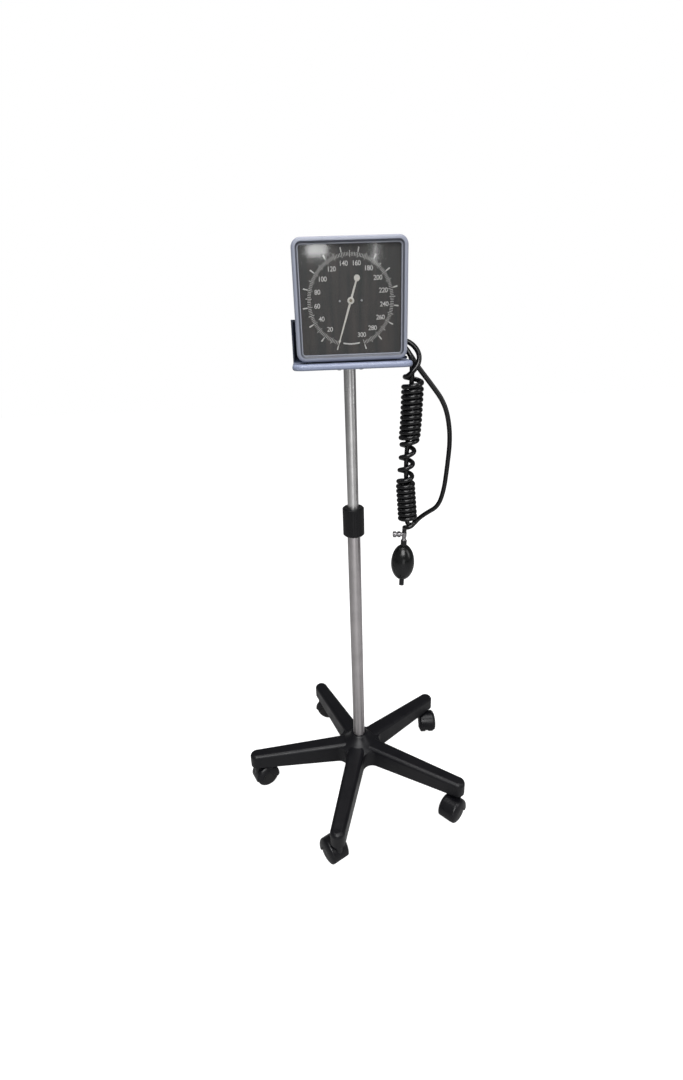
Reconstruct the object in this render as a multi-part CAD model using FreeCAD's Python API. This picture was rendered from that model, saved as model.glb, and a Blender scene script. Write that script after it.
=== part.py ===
"""Mobile aneroid sphygmomanometer: a square dial gauge and a cuff basket on a telescopic pole with casters.

Millimetres, +Z up. The origin is on the floor, under the pole's axis. The dial faces -Y, and its right is +X.
"""
import FreeCAD, Part
import math
import os

V = FreeCAD.Vector

# ---- Driving dimensions ------------------------------------------------------------------------------
# Fits and gaps
PRESS_GAP = 0.0           # pieces pressed or glued together
RUN_GAP = 0.06            # radial, a shaft that turns in its bore
SLIDE_GAP = 0.1           # radial, a bush that slides in its tube
FREE_GAP = 0.4            # between pieces that pass each other without guiding

# Star base
ARM_COUNT = 5
ARM_TURN = -15.6          # heading of the first arm, from straight ahead towards +X, degrees
STEM_REACH = 233.5        # pole axis to a caster's stem
ARM_ROOT_R = 19.0         # half an arm's width at the hub
ARM_TIP_R = 15.0          # an arm's rounded end
WEB_R = 56.0              # thin web between the arms' roots
WEB_H = 35.0              # rim to the web's outer edge
WEB_WAIST = (34.0, 44.5)  # radius and height above the rim, half way up the hub's hollow curve
NOOK_R = 20.0             # rounded corner between two arms
NOOK_BITE = 0.9           # the corner's round cuts this far into the arms' sides
ARM_EDGE_R = 8.0          # rounding along an arm's top edges
ARM_END_PROUD = 0.1       # an arm's round end stands this far out of its sides
BASE_FOOT_Z = 59.0        # rim of the moulding above the floor
BASE_HUB_H = 47.0         # rim to the top face at the pole's axis
BASE_TIP_H = 31.0         # rim to the top face at an arm's end
BASE_WALL = 3.0
RIB_WALL = 2.4
RIB_LIFT = 7.0            # the ribs stop this far above the rim
RIB_STEPS = 4             # cross ribs under one arm
COLLAR_RING_H = 15.0      # raised ring round the pole, above the hub
COLLAR_RING_R = 17.0
COLLAR_RING_EDGE = 2.0    # rounding at the ring's top, as a chamfer
SOCKET_BOSS_R = 19.0
SOCKET_FLOOR_H = 13.0     # rim to the seat of the outer tube
SOCKET_FLOOR_WALL = 8.0
STEM_BOSS_R = 10.0

# Casters
WHEEL_R = 24.2
TREAD_W = 10.2
WHEEL_GAP = 6.8           # between the two wheels of a caster
WHEEL_EDGE = 1.5          # chamfer at a wheel's inner rim
DOME_DEPTH = 5.1          # a wheel's domed side, beyond its tread
DOME_END_R = 6.0          # flat middle of the dome
AXLE_R = 3.0
AXLE_HOLD = 11.0          # axle length inside each wheel
AXLE_HUB_WALL = 4.0
TRAIL = 16.0              # stem to axle, level
HOOD_WALL = 2.2
HOOD_GAP = 1.3            # wheel to hood
HOOD_FROM = -10.0         # the hood runs from beyond the axle, degrees over the top, to behind the stem
HOOD_TO = 183.0
HOOD_SKIRT = 75.0         # share of the wheel's dome that the hood covers, degrees
FORK_GAP = 1.0            # wheel to the plate between the two wheels
STEM_R = 5.5
STEM_GRIP = 24.0          # stem length held in the arm
STEM_FLANGE_R = 9.0
STEM_FLANGE_H = 2.0
STEM_BELOW = 8.0          # stem length in the hood
CASTER_HEADINGS = (121.3, 222.5, 268.8, 333.8, 26.3)  # stem to wheel, from +X, one per arm

# Pole
OUTER_TUBE_R = 12.5
INNER_TUBE_R = 10.5
TUBE_WALL = 1.5
OUTER_TUBE_L = 568.0
MAST_SHOWN = 272.8        # inner tube between the outer tube's top and the flange
MAST_HELD = 270.0         # inner tube inside the outer tube
PLUG_L = 30.0
BOLT_R = 4.2              # foot bolt
BOLT_HEAD_R = 8.5
BOLT_HEAD_H = 6.0
BOLT_REACH = 16.0         # bolt length above the socket's floor
WASHER_R = 17.0
WASHER_T = 3.0

# Height lock
COLLAR_R = 20.5
COLLAR_H = 57.0
COLLAR_BELOW = 37.0       # collar length below the outer tube's top
COLLAR_CHAMFER = 2.5
COLLAR_RIBS = 28
COLLAR_GROOVE_R = 0.9
COLLAR_GROOVE_OUT = 0.315  # groove's middle outside the collar's side
COLLAR_GROOVE_END = 1.6   # groove's ends from the collar's ends, times its chamfer
COLLAR_LID = 3.0          # closed top of the collar, round the inner tube
COLLET_R = 16.0
COLLET_LIP = 3.0          # step that seats on the outer tube's end
COLLET_TIP_R = 13.5
COLLET_SLOTS = 6
COLLET_SLOT_W = 1.6
COLLET_END_GAP = 3.0      # collar length left free at each end of the collet

# Foot of the inner tube
FOOT_SHANK_L = 18.0
JOURNAL_R = 6.5
JOURNAL_L = 20.0
FOOT_DISC_R = 9.0
FOOT_DISC_H = 3.0
BUSH_END_GAP = 0.3

# Shelf under the gauge
FLANGE_R = 38.0
FLANGE_T = 4.0
FLANGE_WELD = 1.5
SHELF_W = 192.0
SHELF_FRONT = 90.0        # ahead of the pole's axis
SHELF_BACK = 84.0
SHELF_CORNER_R = 18.0
SHELF_H = 9.3
SHELF_NOSE_R = 4.0
SHELF_WALL = 3.0
SHELF_INNER_R = 2.0       # rounding inside, under the top
SHELF_SPIGOT_H = 5.0      # inner tube inside the shelf's boss
SHELF_BOSS_WALL = 5.0
SHELF_POST_WALL = 2.6
RIB_PLACES = (-0.29, 0.0, 0.29)  # ribs across the shelf, as shares of its width and depth

# Basket
BASKET_INSET = 1.0        # basket in from the shelf's sides
BASKET_FRONT = 28.0       # front edges of its side walls, ahead of the pole's axis
BASKET_BACK = 80.0
BASKET_H = 66.0
BASKET_WALL = 2.5
BASKET_FLOOR = 2.0
BASKET_CORNER_R = 14.0
BASKET_TONGUE = 64.0      # the floor reaches this far forward, under the gauge
BASKET_RIM = 1.5          # thickening round the top edge
BASKET_RIM_H = 4.0
HOSE_SLOT_Z = (1.5, 40.0)  # slot in the right wall, above the floor
HOSE_SLOT_BACK = 14.0     # the slot ends behind the pole's axis

# Gauge
GAUGE_W = 175.0
GAUGE_CORNER_R = 14.0
GAUGE_LIFT = 0.6          # gauge above the basket's floor
GAUGE_FRONT = 75.0        # ahead of the pole's axis
GAUGE_BACK = 30.0
BEZEL_SKIRT = 3.5
BEZEL_DEPTH = 15.0
BEZEL_FACE = 8.2          # frame seen from the front
BEZEL_ROUND_R = 4.5
BEZEL_STEP = 4.0          # the window lies this far behind the frame's front
BEZEL_LEDGE = 2.0         # light inner ledge round the window
BEZEL_LIP = 1.5           # thickness of that ledge
BEZEL_BEVEL = 2.2         # slope from the frame's face down towards the window
CASE_WALL = 2.5
CASE_EDGE_R = 5.0         # rounding round the case's back
LENS_T = 2.0
LENS_GAP = 0.3            # round the lens
GASKET_T = 1.0
GASKET_W = 3.5
DIAL_GAP = 0.5            # round the dial
DIAL_T = 1.0
DIAL_DEPTH = 13.0         # dial face behind the frame's front
DIAL_SCREW_X = 17.0

# Gauge mount
BRACKET_X = 52.0
BRACKET_W = 24.0
BRACKET_H = 44.0
BRACKET_FOOT = 26.0
BRACKET_T = 2.0
BRACKET_BEND_R = 3.0
CASE_SCREW_H = 34.0       # screws in the brackets' upright legs, above the basket's floor
BRACKET_HOLE = 16.1       # foot screw from the gauge's back

# Movement
GEAR_MODULE = 0.5
PINION_TEETH = 12
SECTOR_TEETH = 120        # on a whole wheel of the sector's size
PRESSURE_ANGLE = 25.0
ADDENDUM = 0.9            # times the module
DEDENDUM = 1.2
BACKLASH = 0.12
SECTOR_SWING = 32.4       # full scale, degrees
SECTOR_SPARE = 5.0        # toothed arc beyond the swing, each side
SECTOR_T = 2.0
SECTOR_RIM = 3.0
SECTOR_SPOKE_W = 3.0
SECTOR_TAIL = 8.5         # pivot to the tail's nose
TAIL_W = 2.0
TAIL_NOSE_R = 1.6
SECTOR_HUB_R = 4.0
ARBOR_R = 1.2
PINION_L = 4.0
GEAR_DEPTH = 28.0         # gear plane behind the frame's front
PLATE_T = 1.6
PLATE_W = 34.0
PLATE_GAP = 14.0          # between the two movement plates
PLATE_MARGIN = 11.0       # plate beyond the two pivots
PILLAR_R = 3.2
PILLAR_X = 13.8           # from the pivots' line
PILLAR_IN = 4.0           # in from the plates' ends
PILLAR_SCREW_R = 1.6
SPRING_BEHIND = 2.5       # hairspring behind the front plate
SPRING_START = 0.9        # inner end from the arbor
SPRING_GROWS = 4.5        # from the inner end to the outer end
SPRING_T = 0.25
SPRING_W = 0.8
POINTER_R = 73.0
POINTER_TAIL = 33.0
POINTER_ZERO = 18.0       # from straight down towards -X, degrees
POINTER_T = 0.7
POINTER_ROOT_W = 3.4
POINTER_TIP_W = 0.9
TAIL_DISC_R = 4.6
HUB_R = 5.2
CAN_GAP = 5.6             # movement plates to the can
CAN_R = 12.5
CAN_H = 26.0
CAN_WALL = 0.8
BELLOWS_R = 9.5
BELLOWS_ROOT_R = 7.0
BELLOWS_FOLDS = 5
BELLOWS_T = 0.6           # along the radius, and the closed foot
ROD_R = 1.4
ROD_TIP_R = 0.8
ROD_TIP_H = 0.6
ROD_FOOT_R = 2.9
ROD_GAP = 0.15            # rod to the tail's nose and to the bellows' foot

# Pressure port and hoses
PORT_R = 4.5
PORT_HOLE_GAP = 0.2       # radial, in the case's back
PORT_ARM_R = 4.0
PORT_ARM_L = 12.0
PORT_HOLE_R = 2.0
PORT_OUT = 20.0           # first arm ahead of the pole's axis
PORT_PITCH = 12.0         # between the port's two arms
PORT_BARB_L = 10.0
HOSE_D = 8.5
HOSE_BORE = 4.6
COIL_D = 39.4
COIL_BORE = 20.0
CUFF_R = 32.0
CUFF_L = 134.5
CUFF_END_GAP = 8.0        # basket's left wall to the cuff
CUFF_EDGE_R = 4.0
CUFF_Y = 44.0
CONNECTOR_R = 6.0
CONNECTOR_L = 8.0

# Bulb and release valve, hung on the bulb hose
BULB_LEAN = 2.4           # degrees
VALVE_R = 4.7
VALVE_H = 17.0
VALVE_BOSS_R = 3.6
VALVE_BOSS_L = 7.0
VALVE_KNOB_Z = 4.5        # knob axis below the valve's top
VALVE_BARB_R = 3.4
VALVE_BARB_L = 9.0
KNOB_R = 5.8
KNOB_L = 14.0
KNOB_WAIST_R = 4.0
KNOB_STEM_R = 1.5
BULB_R = 22.5
BULB_L = 71.5
BULB_BELLY = 37.0         # neck to the widest place
BULB_NECK_R = 5.8
BULB_NECK_L = 10.0
BULB_WALL = 2.3
NIPPLE_R = 4.8
NIPPLE_L = 13.2
INLET_R = 2.6

# Fasteners
SCREW_R = 2.0
SCREW_HEAD_RATIO = 1.9    # head's radius, times the screw's
SCREW_HEAD_H = 1.2        # head's height, times the screw's radius
SCREW_HOLE_GAP = 0.3      # radial, through plates
SHELF_SCREW_L = 10.0
CASE_SCREW_L = 8.0
PILLAR_SCREW_HOLD = 6.0   # screw length inside a pillar
DIAL_SCREW_R = 0.9
DIAL_SCREW_GAP = 0.1      # radial, through the dial

# ---- Places that follow from the sizes ---------------------------------------------------------------
SOCKET_Z = BASE_FOOT_Z + SOCKET_FLOOR_H
TUBE_TOP_Z = SOCKET_Z + OUTER_TUBE_L
FLANGE_Z = TUBE_TOP_Z + MAST_SHOWN
SHELF_Z = FLANGE_Z + FLANGE_T
SHELF_TOP_Z = SHELF_Z + SHELF_H
FLOOR_Z = SHELF_TOP_Z + BASKET_FLOOR
GAUGE_Z = FLOOR_Z + GAUGE_LIFT + GAUGE_W / 2
OUTER_BORE_R = OUTER_TUBE_R - TUBE_WALL
INNER_BORE_R = INNER_TUBE_R - TUBE_WALL
MAST_FOOT_Z = TUBE_TOP_Z - MAST_HELD
COLLAR_Z = TUBE_TOP_Z - COLLAR_BELOW
AXLE_Z = WHEEL_R
HOOD_R = WHEEL_R + HOOD_GAP + HOOD_WALL
TREAD_END = WHEEL_GAP / 2 + TREAD_W
FORK_WALL = WHEEL_GAP - 2 * FORK_GAP
CASTER_TOP_Z = BASE_FOOT_Z - STEM_FLANGE_H - FREE_GAP
BASKET_W = SHELF_W - 2 * BASKET_INSET
CUFF_LEFT = BASKET_WALL + CUFF_END_GAP - BASKET_W / 2
CUFF_RIGHT = CUFF_LEFT + CUFF_L
CASE_W = GAUGE_W - 2 * (BEZEL_SKIRT + PRESS_GAP)
CASE_CORNER_R = GAUGE_CORNER_R - BEZEL_SKIRT
WINDOW_INSET = BEZEL_FACE + BEZEL_LEDGE
LENS_BACK = GAUGE_FRONT - BEZEL_STEP - BEZEL_LIP - LENS_T
CASE_FRONT = LENS_BACK - GASKET_T
DIAL_FRONT = GAUGE_FRONT - DIAL_DEPTH
GEAR_Y = GAUGE_FRONT - GEAR_DEPTH
PINION_PITCH_R = GEAR_MODULE * PINION_TEETH / 2
SECTOR_PITCH_R = GEAR_MODULE * SECTOR_TEETH / 2
PIVOT_DROP = PINION_PITCH_R + SECTOR_PITCH_R
TAIL_REST = -SECTOR_SWING / 2
ROD_X = SECTOR_TAIL * math.cos(math.radians(TAIL_REST))
ROD_TRAVEL = 2 * SECTOR_TAIL * math.sin(math.radians(SECTOR_SWING / 2))
NOSE_LOW = -PIVOT_DROP + SECTOR_TAIL * math.sin(math.radians(TAIL_REST)) - TAIL_NOSE_R
CAN_TOP = -PIVOT_DROP - PLATE_MARGIN - CAN_GAP
DIAL_W = CASE_W - 2 * (CASE_WALL + DIAL_GAP)
DIAL_CORNER_R = CASE_CORNER_R - CASE_WALL - DIAL_GAP
LENS_W = CASE_W - 2 * LENS_GAP
LENS_CORNER_R = CASE_CORNER_R - LENS_GAP
PORT_Z = GAUGE_Z + CAN_TOP - CAN_H / 2


# Free hoses: route points, x y z. Heights are above the basket's floor, so that the hoses follow the head.
PORT_END_X = ROD_X + PORT_ARM_L
PORT_UP = PORT_Z - FLOOR_Z


def in_head(points):
    """Route points lifted to the head."""
    return [(x, y, FLOOR_Z + up) for x, y, up in points]


GAUGE_HOSE = in_head(((PORT_END_X, -PORT_OUT, PORT_UP), (54, -20.4, 26.9), (88, -20.8, 27.9),
                      (104.5, -24, 20.4), (115.8, -28, 4.9), (114.3, -31, -11.6), (104, -34.5, -23.1),
                      (94, -33, -31.3), (93, -28.8, -43.1)))
COIL_AXIS = in_head(((106.6, -20, -41.6), (105.8, -20, -72.1), (103.9, -20, -122.1), (98.3, -20, -172.1),
                     (95.2, -20, -216.1), (98.4, -20, -256.1), (101, -20, -294.1)))
BULB_HOSE = in_head(((94.9, -20, -317.1), (95.2, -20.3, -308.6), (93.6, -27.5, -304.3),
                     (98.5, -35.6, -302.9), (108, -35, -298.8), (112.7, -28, -294.1)))
CUFF_HOSE = in_head(((PORT_END_X, PORT_PITCH - PORT_OUT, PORT_UP), (50, -8, 25.5), (76, -9.5, 25.1),
                     (92, -17.5, 16.9), (103.2, -27, -0.6), (104.6, -23, -24.1), (104.4, -20.6, -50.1),
                     (102.4, -20, -90.1), (99.4, -20, -138.1), (96.6, -20, -180.1), (97.4, -20, -222.1),
                     (98.4, -20, -256.1), (98.4, -19.6, -278.1), (99.6, -16, -296.1), (104, -10, -306.6),
                     (115, -7.5, -307.1), (122.5, -7, -295.6), (135.5, -12, -280.6),
                     (153.5, -18.5, -266.1), (164.5, -20, -237.6), (170.6, -20, -193.6),
                     (173.8, -20, -144.1), (168.4, -20, -105.1), (158.4, -20, -76.6), (138, -20, -47.6),
                     (115.1, -18.5, -15.8), (102, -13.5, 6), (89, -1, 16.4), (83.5, 18, 21.4),
                     (72.5, 34.5, 22.9), (CUFF_RIGHT + CONNECTOR_L, 40, 23.4)))


# ---- Shape helpers -----------------------------------------------------------------------------------
def cylinder(radius, low, high, x=0.0, y=0.0):
    """Upright cylinder between two heights."""
    return Part.makeCylinder(radius, high - low, V(x, y, low))


def pipe(outer, inner, low, high, x=0.0, y=0.0):
    """Upright tube between two heights."""
    return cylinder(outer, low, high, x, y).cut(cylinder(inner, low - 1, high + 1, x, y))


def box(x0, x1, y0, y1, z0, z1):
    """Box between two corners."""
    return Part.makeBox(x1 - x0, y1 - y0, z1 - z0, V(x0, y0, z0))


def fused(shapes):
    """One clean solid from pieces that touch or overlap."""
    first, *rest = shapes
    return (first.multiFuse(rest) if rest else first).removeSplitter()


def polygon_face(points):
    """Flat face through points."""
    corners = [V(*p) for p in points]
    return Part.Face(Part.makePolygon(corners + corners[:1]))


def turned(profile, sweep=360.0):
    """Solid of revolution about Z from (radius, height) points."""
    return polygon_face([(r, 0, h) for r, h in profile]).revolve(V(0, 0, 0), V(0, 0, 1), sweep)


def placed(shape, position=(0, 0, 0), turn=0.0, axis=(0, 0, 1)):
    """Copy of a shape, turned about an axis through the origin and then moved."""
    copy = shape.copy()
    move = FreeCAD.Placement(V(*position), FreeCAD.Rotation(V(*axis), turn))
    copy.Placement = move.multiply(copy.Placement)
    return copy


def polar(radius, angle):
    """Level point at an angle from +X, degrees."""
    return radius * math.cos(math.radians(angle)), radius * math.sin(math.radians(angle))


def rounded_wire(width, height, radius):
    """Rounded rectangle round the origin, in the XY plane."""
    a = width / 2
    b = height / 2
    k = radius * math.sqrt(0.5)
    edges = []
    for sx, sy, start, end in ((1, 1, (1, 0), (0, 1)), (-1, 1, (0, 1), (-1, 0)), (-1, -1, (-1, 0), (0, -1)),
                               (1, -1, (0, -1), (1, 0))):
        cx = sx * (a - radius)
        cy = sy * (b - radius)
        first = V(cx + radius * start[0], cy + radius * start[1], 0)
        last = V(cx + radius * end[0], cy + radius * end[1], 0)
        if edges:
            edges.append(Part.LineSegment(edges[-1].Vertexes[-1].Point, first).toShape())
        edges.append(Part.Arc(first, V(cx + sx * k, cy + sy * k, 0), last).toShape())
    edges.append(Part.LineSegment(edges[-1].Vertexes[-1].Point, edges[0].Vertexes[0].Point).toShape())
    return Part.Wire(edges)


def slab(width, height, radius, low, high):
    """Rounded rectangle between two levels."""
    face = Part.Face(rounded_wire(width, height, radius))
    face.translate(V(0, 0, low))
    return face.extrude(V(0, 0, high - low))


def frame_ring(width, radius, profile):
    """Square ring of a constant section. profile holds (inset from the outer edge, height) points."""
    half = width / 2 - radius
    side = polygon_face([(width / 2 - d, -half, h) for d, h in profile]).extrude(V(0, 2 * half, 0))
    corner = placed(turned([(radius - d, h) for d, h in profile], 90), (half, half, 0))
    return fused([placed(s, turn=90 * k) for k in range(4) for s in (side, corner)])


def revolved_edges(edges):
    """Solid of revolution about Z of the edges of a closed half section."""
    return Part.Face(Part.Wire(Part.__sortEdges__(edges))).revolve(V(0, 0, 0), V(0, 0, 1), 360)


def lines(points):
    """Straight edges through points."""
    return [Part.LineSegment(a, b).toShape() for a, b in zip(points, points[1:])]


def to_dial(shape):
    """Turns a piece drawn face up, level with the gauge's middle, so that its face looks towards -Y."""
    return placed(shape, (0, 0, GAUGE_Z), 90, (1, 0, 0))


def hose_wire(points):
    """Straight runs joined by tangent arcs, and the arcs' radii."""
    spots = [V(*p) for p in points]
    edges = []
    radii = []
    here = spots[0]
    for before, corner, after in zip(spots, spots[1:], spots[2:]):
        back = (before - corner).normalize()
        ahead = (after - corner).normalize()
        half_turn = (math.pi - back.getAngle(ahead)) / 2
        trim = 0.45 * min(before.distanceToPoint(corner), corner.distanceToPoint(after))
        radius = trim / math.tan(half_turn)
        inward = (back + ahead).normalize()
        middle = corner + inward * (radius / math.cos(half_turn) - radius)
        enter = corner + back * trim
        leave = corner + ahead * trim
        edges.append(Part.LineSegment(here, enter).toShape())
        edges.append(Part.Arc(enter, middle, leave).toShape())
        radii.append(radius)
        here = leave
    edges.append(Part.LineSegment(here, spots[-1]).toShape())
    return Part.Wire(edges), radii


def hose(name, points, diameter, bore):
    """Hollow tube along a route. Prints its length, its bends and its volume over section times length."""
    wire, radii = hose_wire(points)
    heading = V(*points[1]) - V(*points[0])
    ends = [Part.Wire(Part.Circle(V(*points[0]), heading, d / 2).toShape()) for d in (diameter, bore)]
    outer, inner = (wire.makePipeShell([end], True, False) for end in ends)
    tube = outer.cut(inner)
    section = math.pi * (diameter ** 2 - bore ** 2) / 4
    ratio = tube.Volume / section / wire.Length
    print(name, "length", round(wire.Length, 1), "volume ratio", round(ratio, 4))
    print(name, "radii", " ".join(str(round(r, 1)) for r in radii))
    return tube


def pan_screw(radius, length):
    """Pan-head screw with its head's underside at the origin, pointing down."""
    head_r = SCREW_HEAD_RATIO * radius
    high = SCREW_HEAD_H * radius
    return turned([(0, -length), (radius, -length), (radius, 0), (head_r, 0), (head_r, high / 2),
                   (head_r * 0.7, high), (0, high)])


# ---- Star base ---------------------------------------------------------------------------------------
def arm_heading(k):
    """Heading of arm k, from +X."""
    return ARM_TURN - 90 + 360.0 / ARM_COUNT * k


def star_arm(inset, foot):
    """One tapering arm along +X: a sloping top with rounded edges, and a round end."""
    tip = ARM_TIP_R - inset
    edge_r = ARM_EDGE_R - inset
    start = SOCKET_BOSS_R
    root = ARM_ROOT_R - inset - (ARM_ROOT_R - ARM_TIP_R) * start / STEM_REACH
    low = [(start, -root, foot), (STEM_REACH, -tip, foot), (STEM_REACH, tip, foot), (start, root, foot)]
    slope = (BASE_HUB_H - BASE_TIP_H) / STEM_REACH
    end_top = BASE_FOOT_Z + BASE_TIP_H - inset
    start_top = end_top + slope * (STEM_REACH - start)
    side = polygon_face([(start, -root, foot), (STEM_REACH, -root, foot), (STEM_REACH, -root, end_top),
                         (start, -root, start_top)])
    beam = polygon_face(low).extrude(V(0, 0, BASE_HUB_H + 9)).common(side.extrude(V(0, 2 * root, 0)))
    rim = [e for e in beam.Edges if e.BoundBox.ZMin > end_top - 1 and e.BoundBox.XLength > 1]
    beam = beam.makeFillet(edge_r, rim)
    end = cylinder(tip + ARM_END_PROUD, foot, end_top + ARM_END_PROUD, STEM_REACH)
    end = end.makeFillet(edge_r, [e for e in end.Edges if e.BoundBox.ZMin > end_top])
    return fused([beam, end])


def star_body(inset, foot):
    """Five arms on a hub that rises in a hollow curve to the pole, moved in by inset."""
    def at(radius, up):
        """Point of the hub's half section."""
        return V(radius - inset, 0, BASE_FOOT_Z + up - inset)

    rim = at(WEB_R, WEB_H)
    neck = at(COLLAR_RING_R + COLLAR_RING_EDGE, BASE_HUB_H + COLLAR_RING_H - COLLAR_RING_EDGE)
    top = at(COLLAR_RING_R, BASE_HUB_H + COLLAR_RING_H)
    curve = Part.Arc(rim, at(*WEB_WAIST), neck).toShape()
    hub = revolved_edges([curve] + lines([neck, top, V(0, 0, top.z), V(0, 0, foot), V(rim.x, 0, foot), rim]))
    corner = math.radians(180 / ARM_COUNT)
    reach = (NOOK_R + ARM_ROOT_R - NOOK_BITE) / math.sin(corner)
    nooks = [cylinder(NOOK_R + inset, foot - 1, top.z + 1, *polar(reach, arm_heading(k + 0.5)))
             for k in range(ARM_COUNT)]
    arm = star_arm(inset, foot)
    return fused([hub.cut(nooks)] + [placed(arm, turn=arm_heading(k)) for k in range(ARM_COUNT)])


def star_base():
    """Moulded base: hollow underneath, with ribs, a boss for the pole and one for each caster."""
    above = BASE_FOOT_Z + BASE_HUB_H + 1
    stiffeners = [cylinder(SOCKET_BOSS_R, BASE_FOOT_Z + RIB_LIFT / 2, above + COLLAR_RING_H)]
    for k in range(ARM_COUNT):
        x, y = polar(STEM_REACH, arm_heading(k))
        stiffeners.append(cylinder(STEM_BOSS_R, BASE_FOOT_Z, above, x, y))
        spine = box(SOCKET_BOSS_R - 2, STEM_REACH - STEM_BOSS_R + 2, -RIB_WALL / 2, RIB_WALL / 2,
                    BASE_FOOT_Z + RIB_LIFT, above)
        stiffeners.append(placed(spine, turn=arm_heading(k)))
        for j in range(1, RIB_STEPS + 1):
            reach = SOCKET_BOSS_R + (STEM_REACH - SOCKET_BOSS_R) * j / (RIB_STEPS + 1)
            rib = box(reach - RIB_WALL / 2, reach + RIB_WALL / 2, -ARM_ROOT_R, ARM_ROOT_R,
                      BASE_FOOT_Z + RIB_LIFT, above)
            stiffeners.append(placed(rib, turn=arm_heading(k)))
    cavity = star_body(BASE_WALL, BASE_FOOT_Z - 1).cut(fused(stiffeners))
    shell = star_body(0.0, BASE_FOOT_Z).cut(cavity)
    cuts = [cylinder(OUTER_TUBE_R + PRESS_GAP, SOCKET_Z, above + COLLAR_RING_H),
            cylinder(SOCKET_BOSS_R - 1, BASE_FOOT_Z - 1, SOCKET_Z - SOCKET_FLOOR_WALL),
            cylinder(BOLT_R + FREE_GAP, BASE_FOOT_Z, SOCKET_Z + 1)]
    for k in range(ARM_COUNT):
        x, y = polar(STEM_REACH, arm_heading(k))
        cuts.append(cylinder(STEM_R + PRESS_GAP, BASE_FOOT_Z - 1, BASE_FOOT_Z + STEM_GRIP, x, y))
    return shell.cut(cuts)


# ---- Casters -----------------------------------------------------------------------------------------
def caster_place(shape, k):
    """Moves a caster piece, drawn round its stem with the wheels towards +X, to arm k."""
    x, y = polar(STEM_REACH, arm_heading(k))
    return placed(shape, (x, y, 0), CASTER_HEADINGS[k])


def across(shape):
    """Lays a piece drawn about Z along the caster's axle."""
    return placed(shape, (TRAIL, 0, AXLE_Z), 90, (1, 0, 0))


def dome_arc(grow, stop):
    """Quarter ellipse over a wheel's domed side, moved out by grow, from the tread to the angle stop."""
    centre = V(DOME_END_R + grow, 0, TREAD_END)
    level = V(WHEEL_R - DOME_END_R, 0, 0)
    ellipse = Part.Ellipse(centre + level, centre + V(0, 0, DOME_DEPTH + grow), centre)
    return Part.ArcOfEllipse(ellipse, 0, math.radians(stop)).toShape()


def both_sides(shape):
    """A piece of a caster and its mirror image, beyond the plate between the wheels."""
    return [shape, shape.mirror(V(0, 0, 0), V(0, 0, 1))]


def caster_hood():
    """Domed hood over both wheels, the plate between them, the stem's boss and the axle's bearing."""
    outer = dome_arc(HOOD_GAP + HOOD_WALL, HOOD_SKIRT)
    inner = dome_arc(HOOD_GAP, HOOD_SKIRT)
    inner_r = HOOD_R - HOOD_WALL
    rim = [outer.Vertexes[-1].Point, inner.Vertexes[-1].Point]
    band = [inner.Vertexes[0].Point, V(inner_r, 0, 0), V(HOOD_R, 0, 0), outer.Vertexes[0].Point]
    section = Part.Face(Part.Wire(Part.__sortEdges__([outer, inner] + lines(rim) + lines(band))))
    shell = placed(section.revolve(V(0, 0, 0), V(0, 0, 1), HOOD_TO - HOOD_FROM), turn=HOOD_FROM)
    web = Part.makeCylinder(HOOD_R - HOOD_WALL / 2, FORK_WALL, V(0, 0, -FORK_WALL / 2), V(0, 0, 1), 180)
    hub = cylinder(AXLE_R + AXLE_HUB_WALL, -FORK_WALL / 2, FORK_WALL / 2)
    body = across(fused(both_sides(shell) + [web, hub]))
    clear = both_sides(cylinder(inner_r, FORK_WALL / 2, TREAD_END))
    boss = cylinder(STEM_FLANGE_R, AXLE_Z + STEM_R, CASTER_TOP_Z).cut([across(c) for c in clear])
    hood = fused([body, boss]).cut(across(cylinder(AXLE_R + RUN_GAP, -TREAD_END, TREAD_END)))
    return hood.cut(cylinder(STEM_R + RUN_GAP, CASTER_TOP_Z - STEM_BELOW - FREE_GAP, CASTER_TOP_Z + 1))


def caster_wheels():
    """Two equal wheels with flat treads and closed, domed sides, bored from inside for the axle."""
    inner = WHEEL_GAP / 2
    dome = dome_arc(0.0, 90)
    cap = TREAD_END + DOME_DEPTH
    bore = AXLE_R + PRESS_GAP
    hold = inner + AXLE_HOLD
    outline = lines([V(DOME_END_R, 0, cap), V(0, 0, cap), V(0, 0, hold), V(bore, 0, hold), V(bore, 0, inner),
                     V(WHEEL_R - WHEEL_EDGE, 0, inner), V(WHEEL_R, 0, inner + WHEEL_EDGE),
                     V(WHEEL_R, 0, TREAD_END)])
    return across(Part.makeCompound(both_sides(revolved_edges([dome] + outline))))


def caster_axle():
    """Steel pin, pressed into both wheels."""
    half = WHEEL_GAP / 2 + AXLE_HOLD
    return across(cylinder(AXLE_R, -half, half))


def caster_stems():
    """Five steel stems, pressed into the arms and free to turn in the hoods."""
    stem = fused([cylinder(STEM_R, CASTER_TOP_Z - STEM_BELOW, BASE_FOOT_Z + STEM_GRIP),
                  cylinder(STEM_FLANGE_R, BASE_FOOT_Z - STEM_FLANGE_H, BASE_FOOT_Z)])
    return Part.makeCompound([caster_place(stem, k) for k in range(ARM_COUNT)])


# ---- Pole --------------------------------------------------------------------------------------------
def outer_tube():
    """Lower tube of the pole."""
    return pipe(OUTER_TUBE_R, OUTER_BORE_R, SOCKET_Z, TUBE_TOP_Z)


def tube_plug():
    """Threaded plug in the outer tube's foot."""
    return pipe(OUTER_BORE_R - PRESS_GAP, BOLT_R + PRESS_GAP, SOCKET_Z, SOCKET_Z + PLUG_L)


def base_washer():
    """Washer between the foot bolt and the socket's floor."""
    top = SOCKET_Z - SOCKET_FLOOR_WALL
    return pipe(WASHER_R, BOLT_R + FREE_GAP, top - WASHER_T, top)


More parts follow.
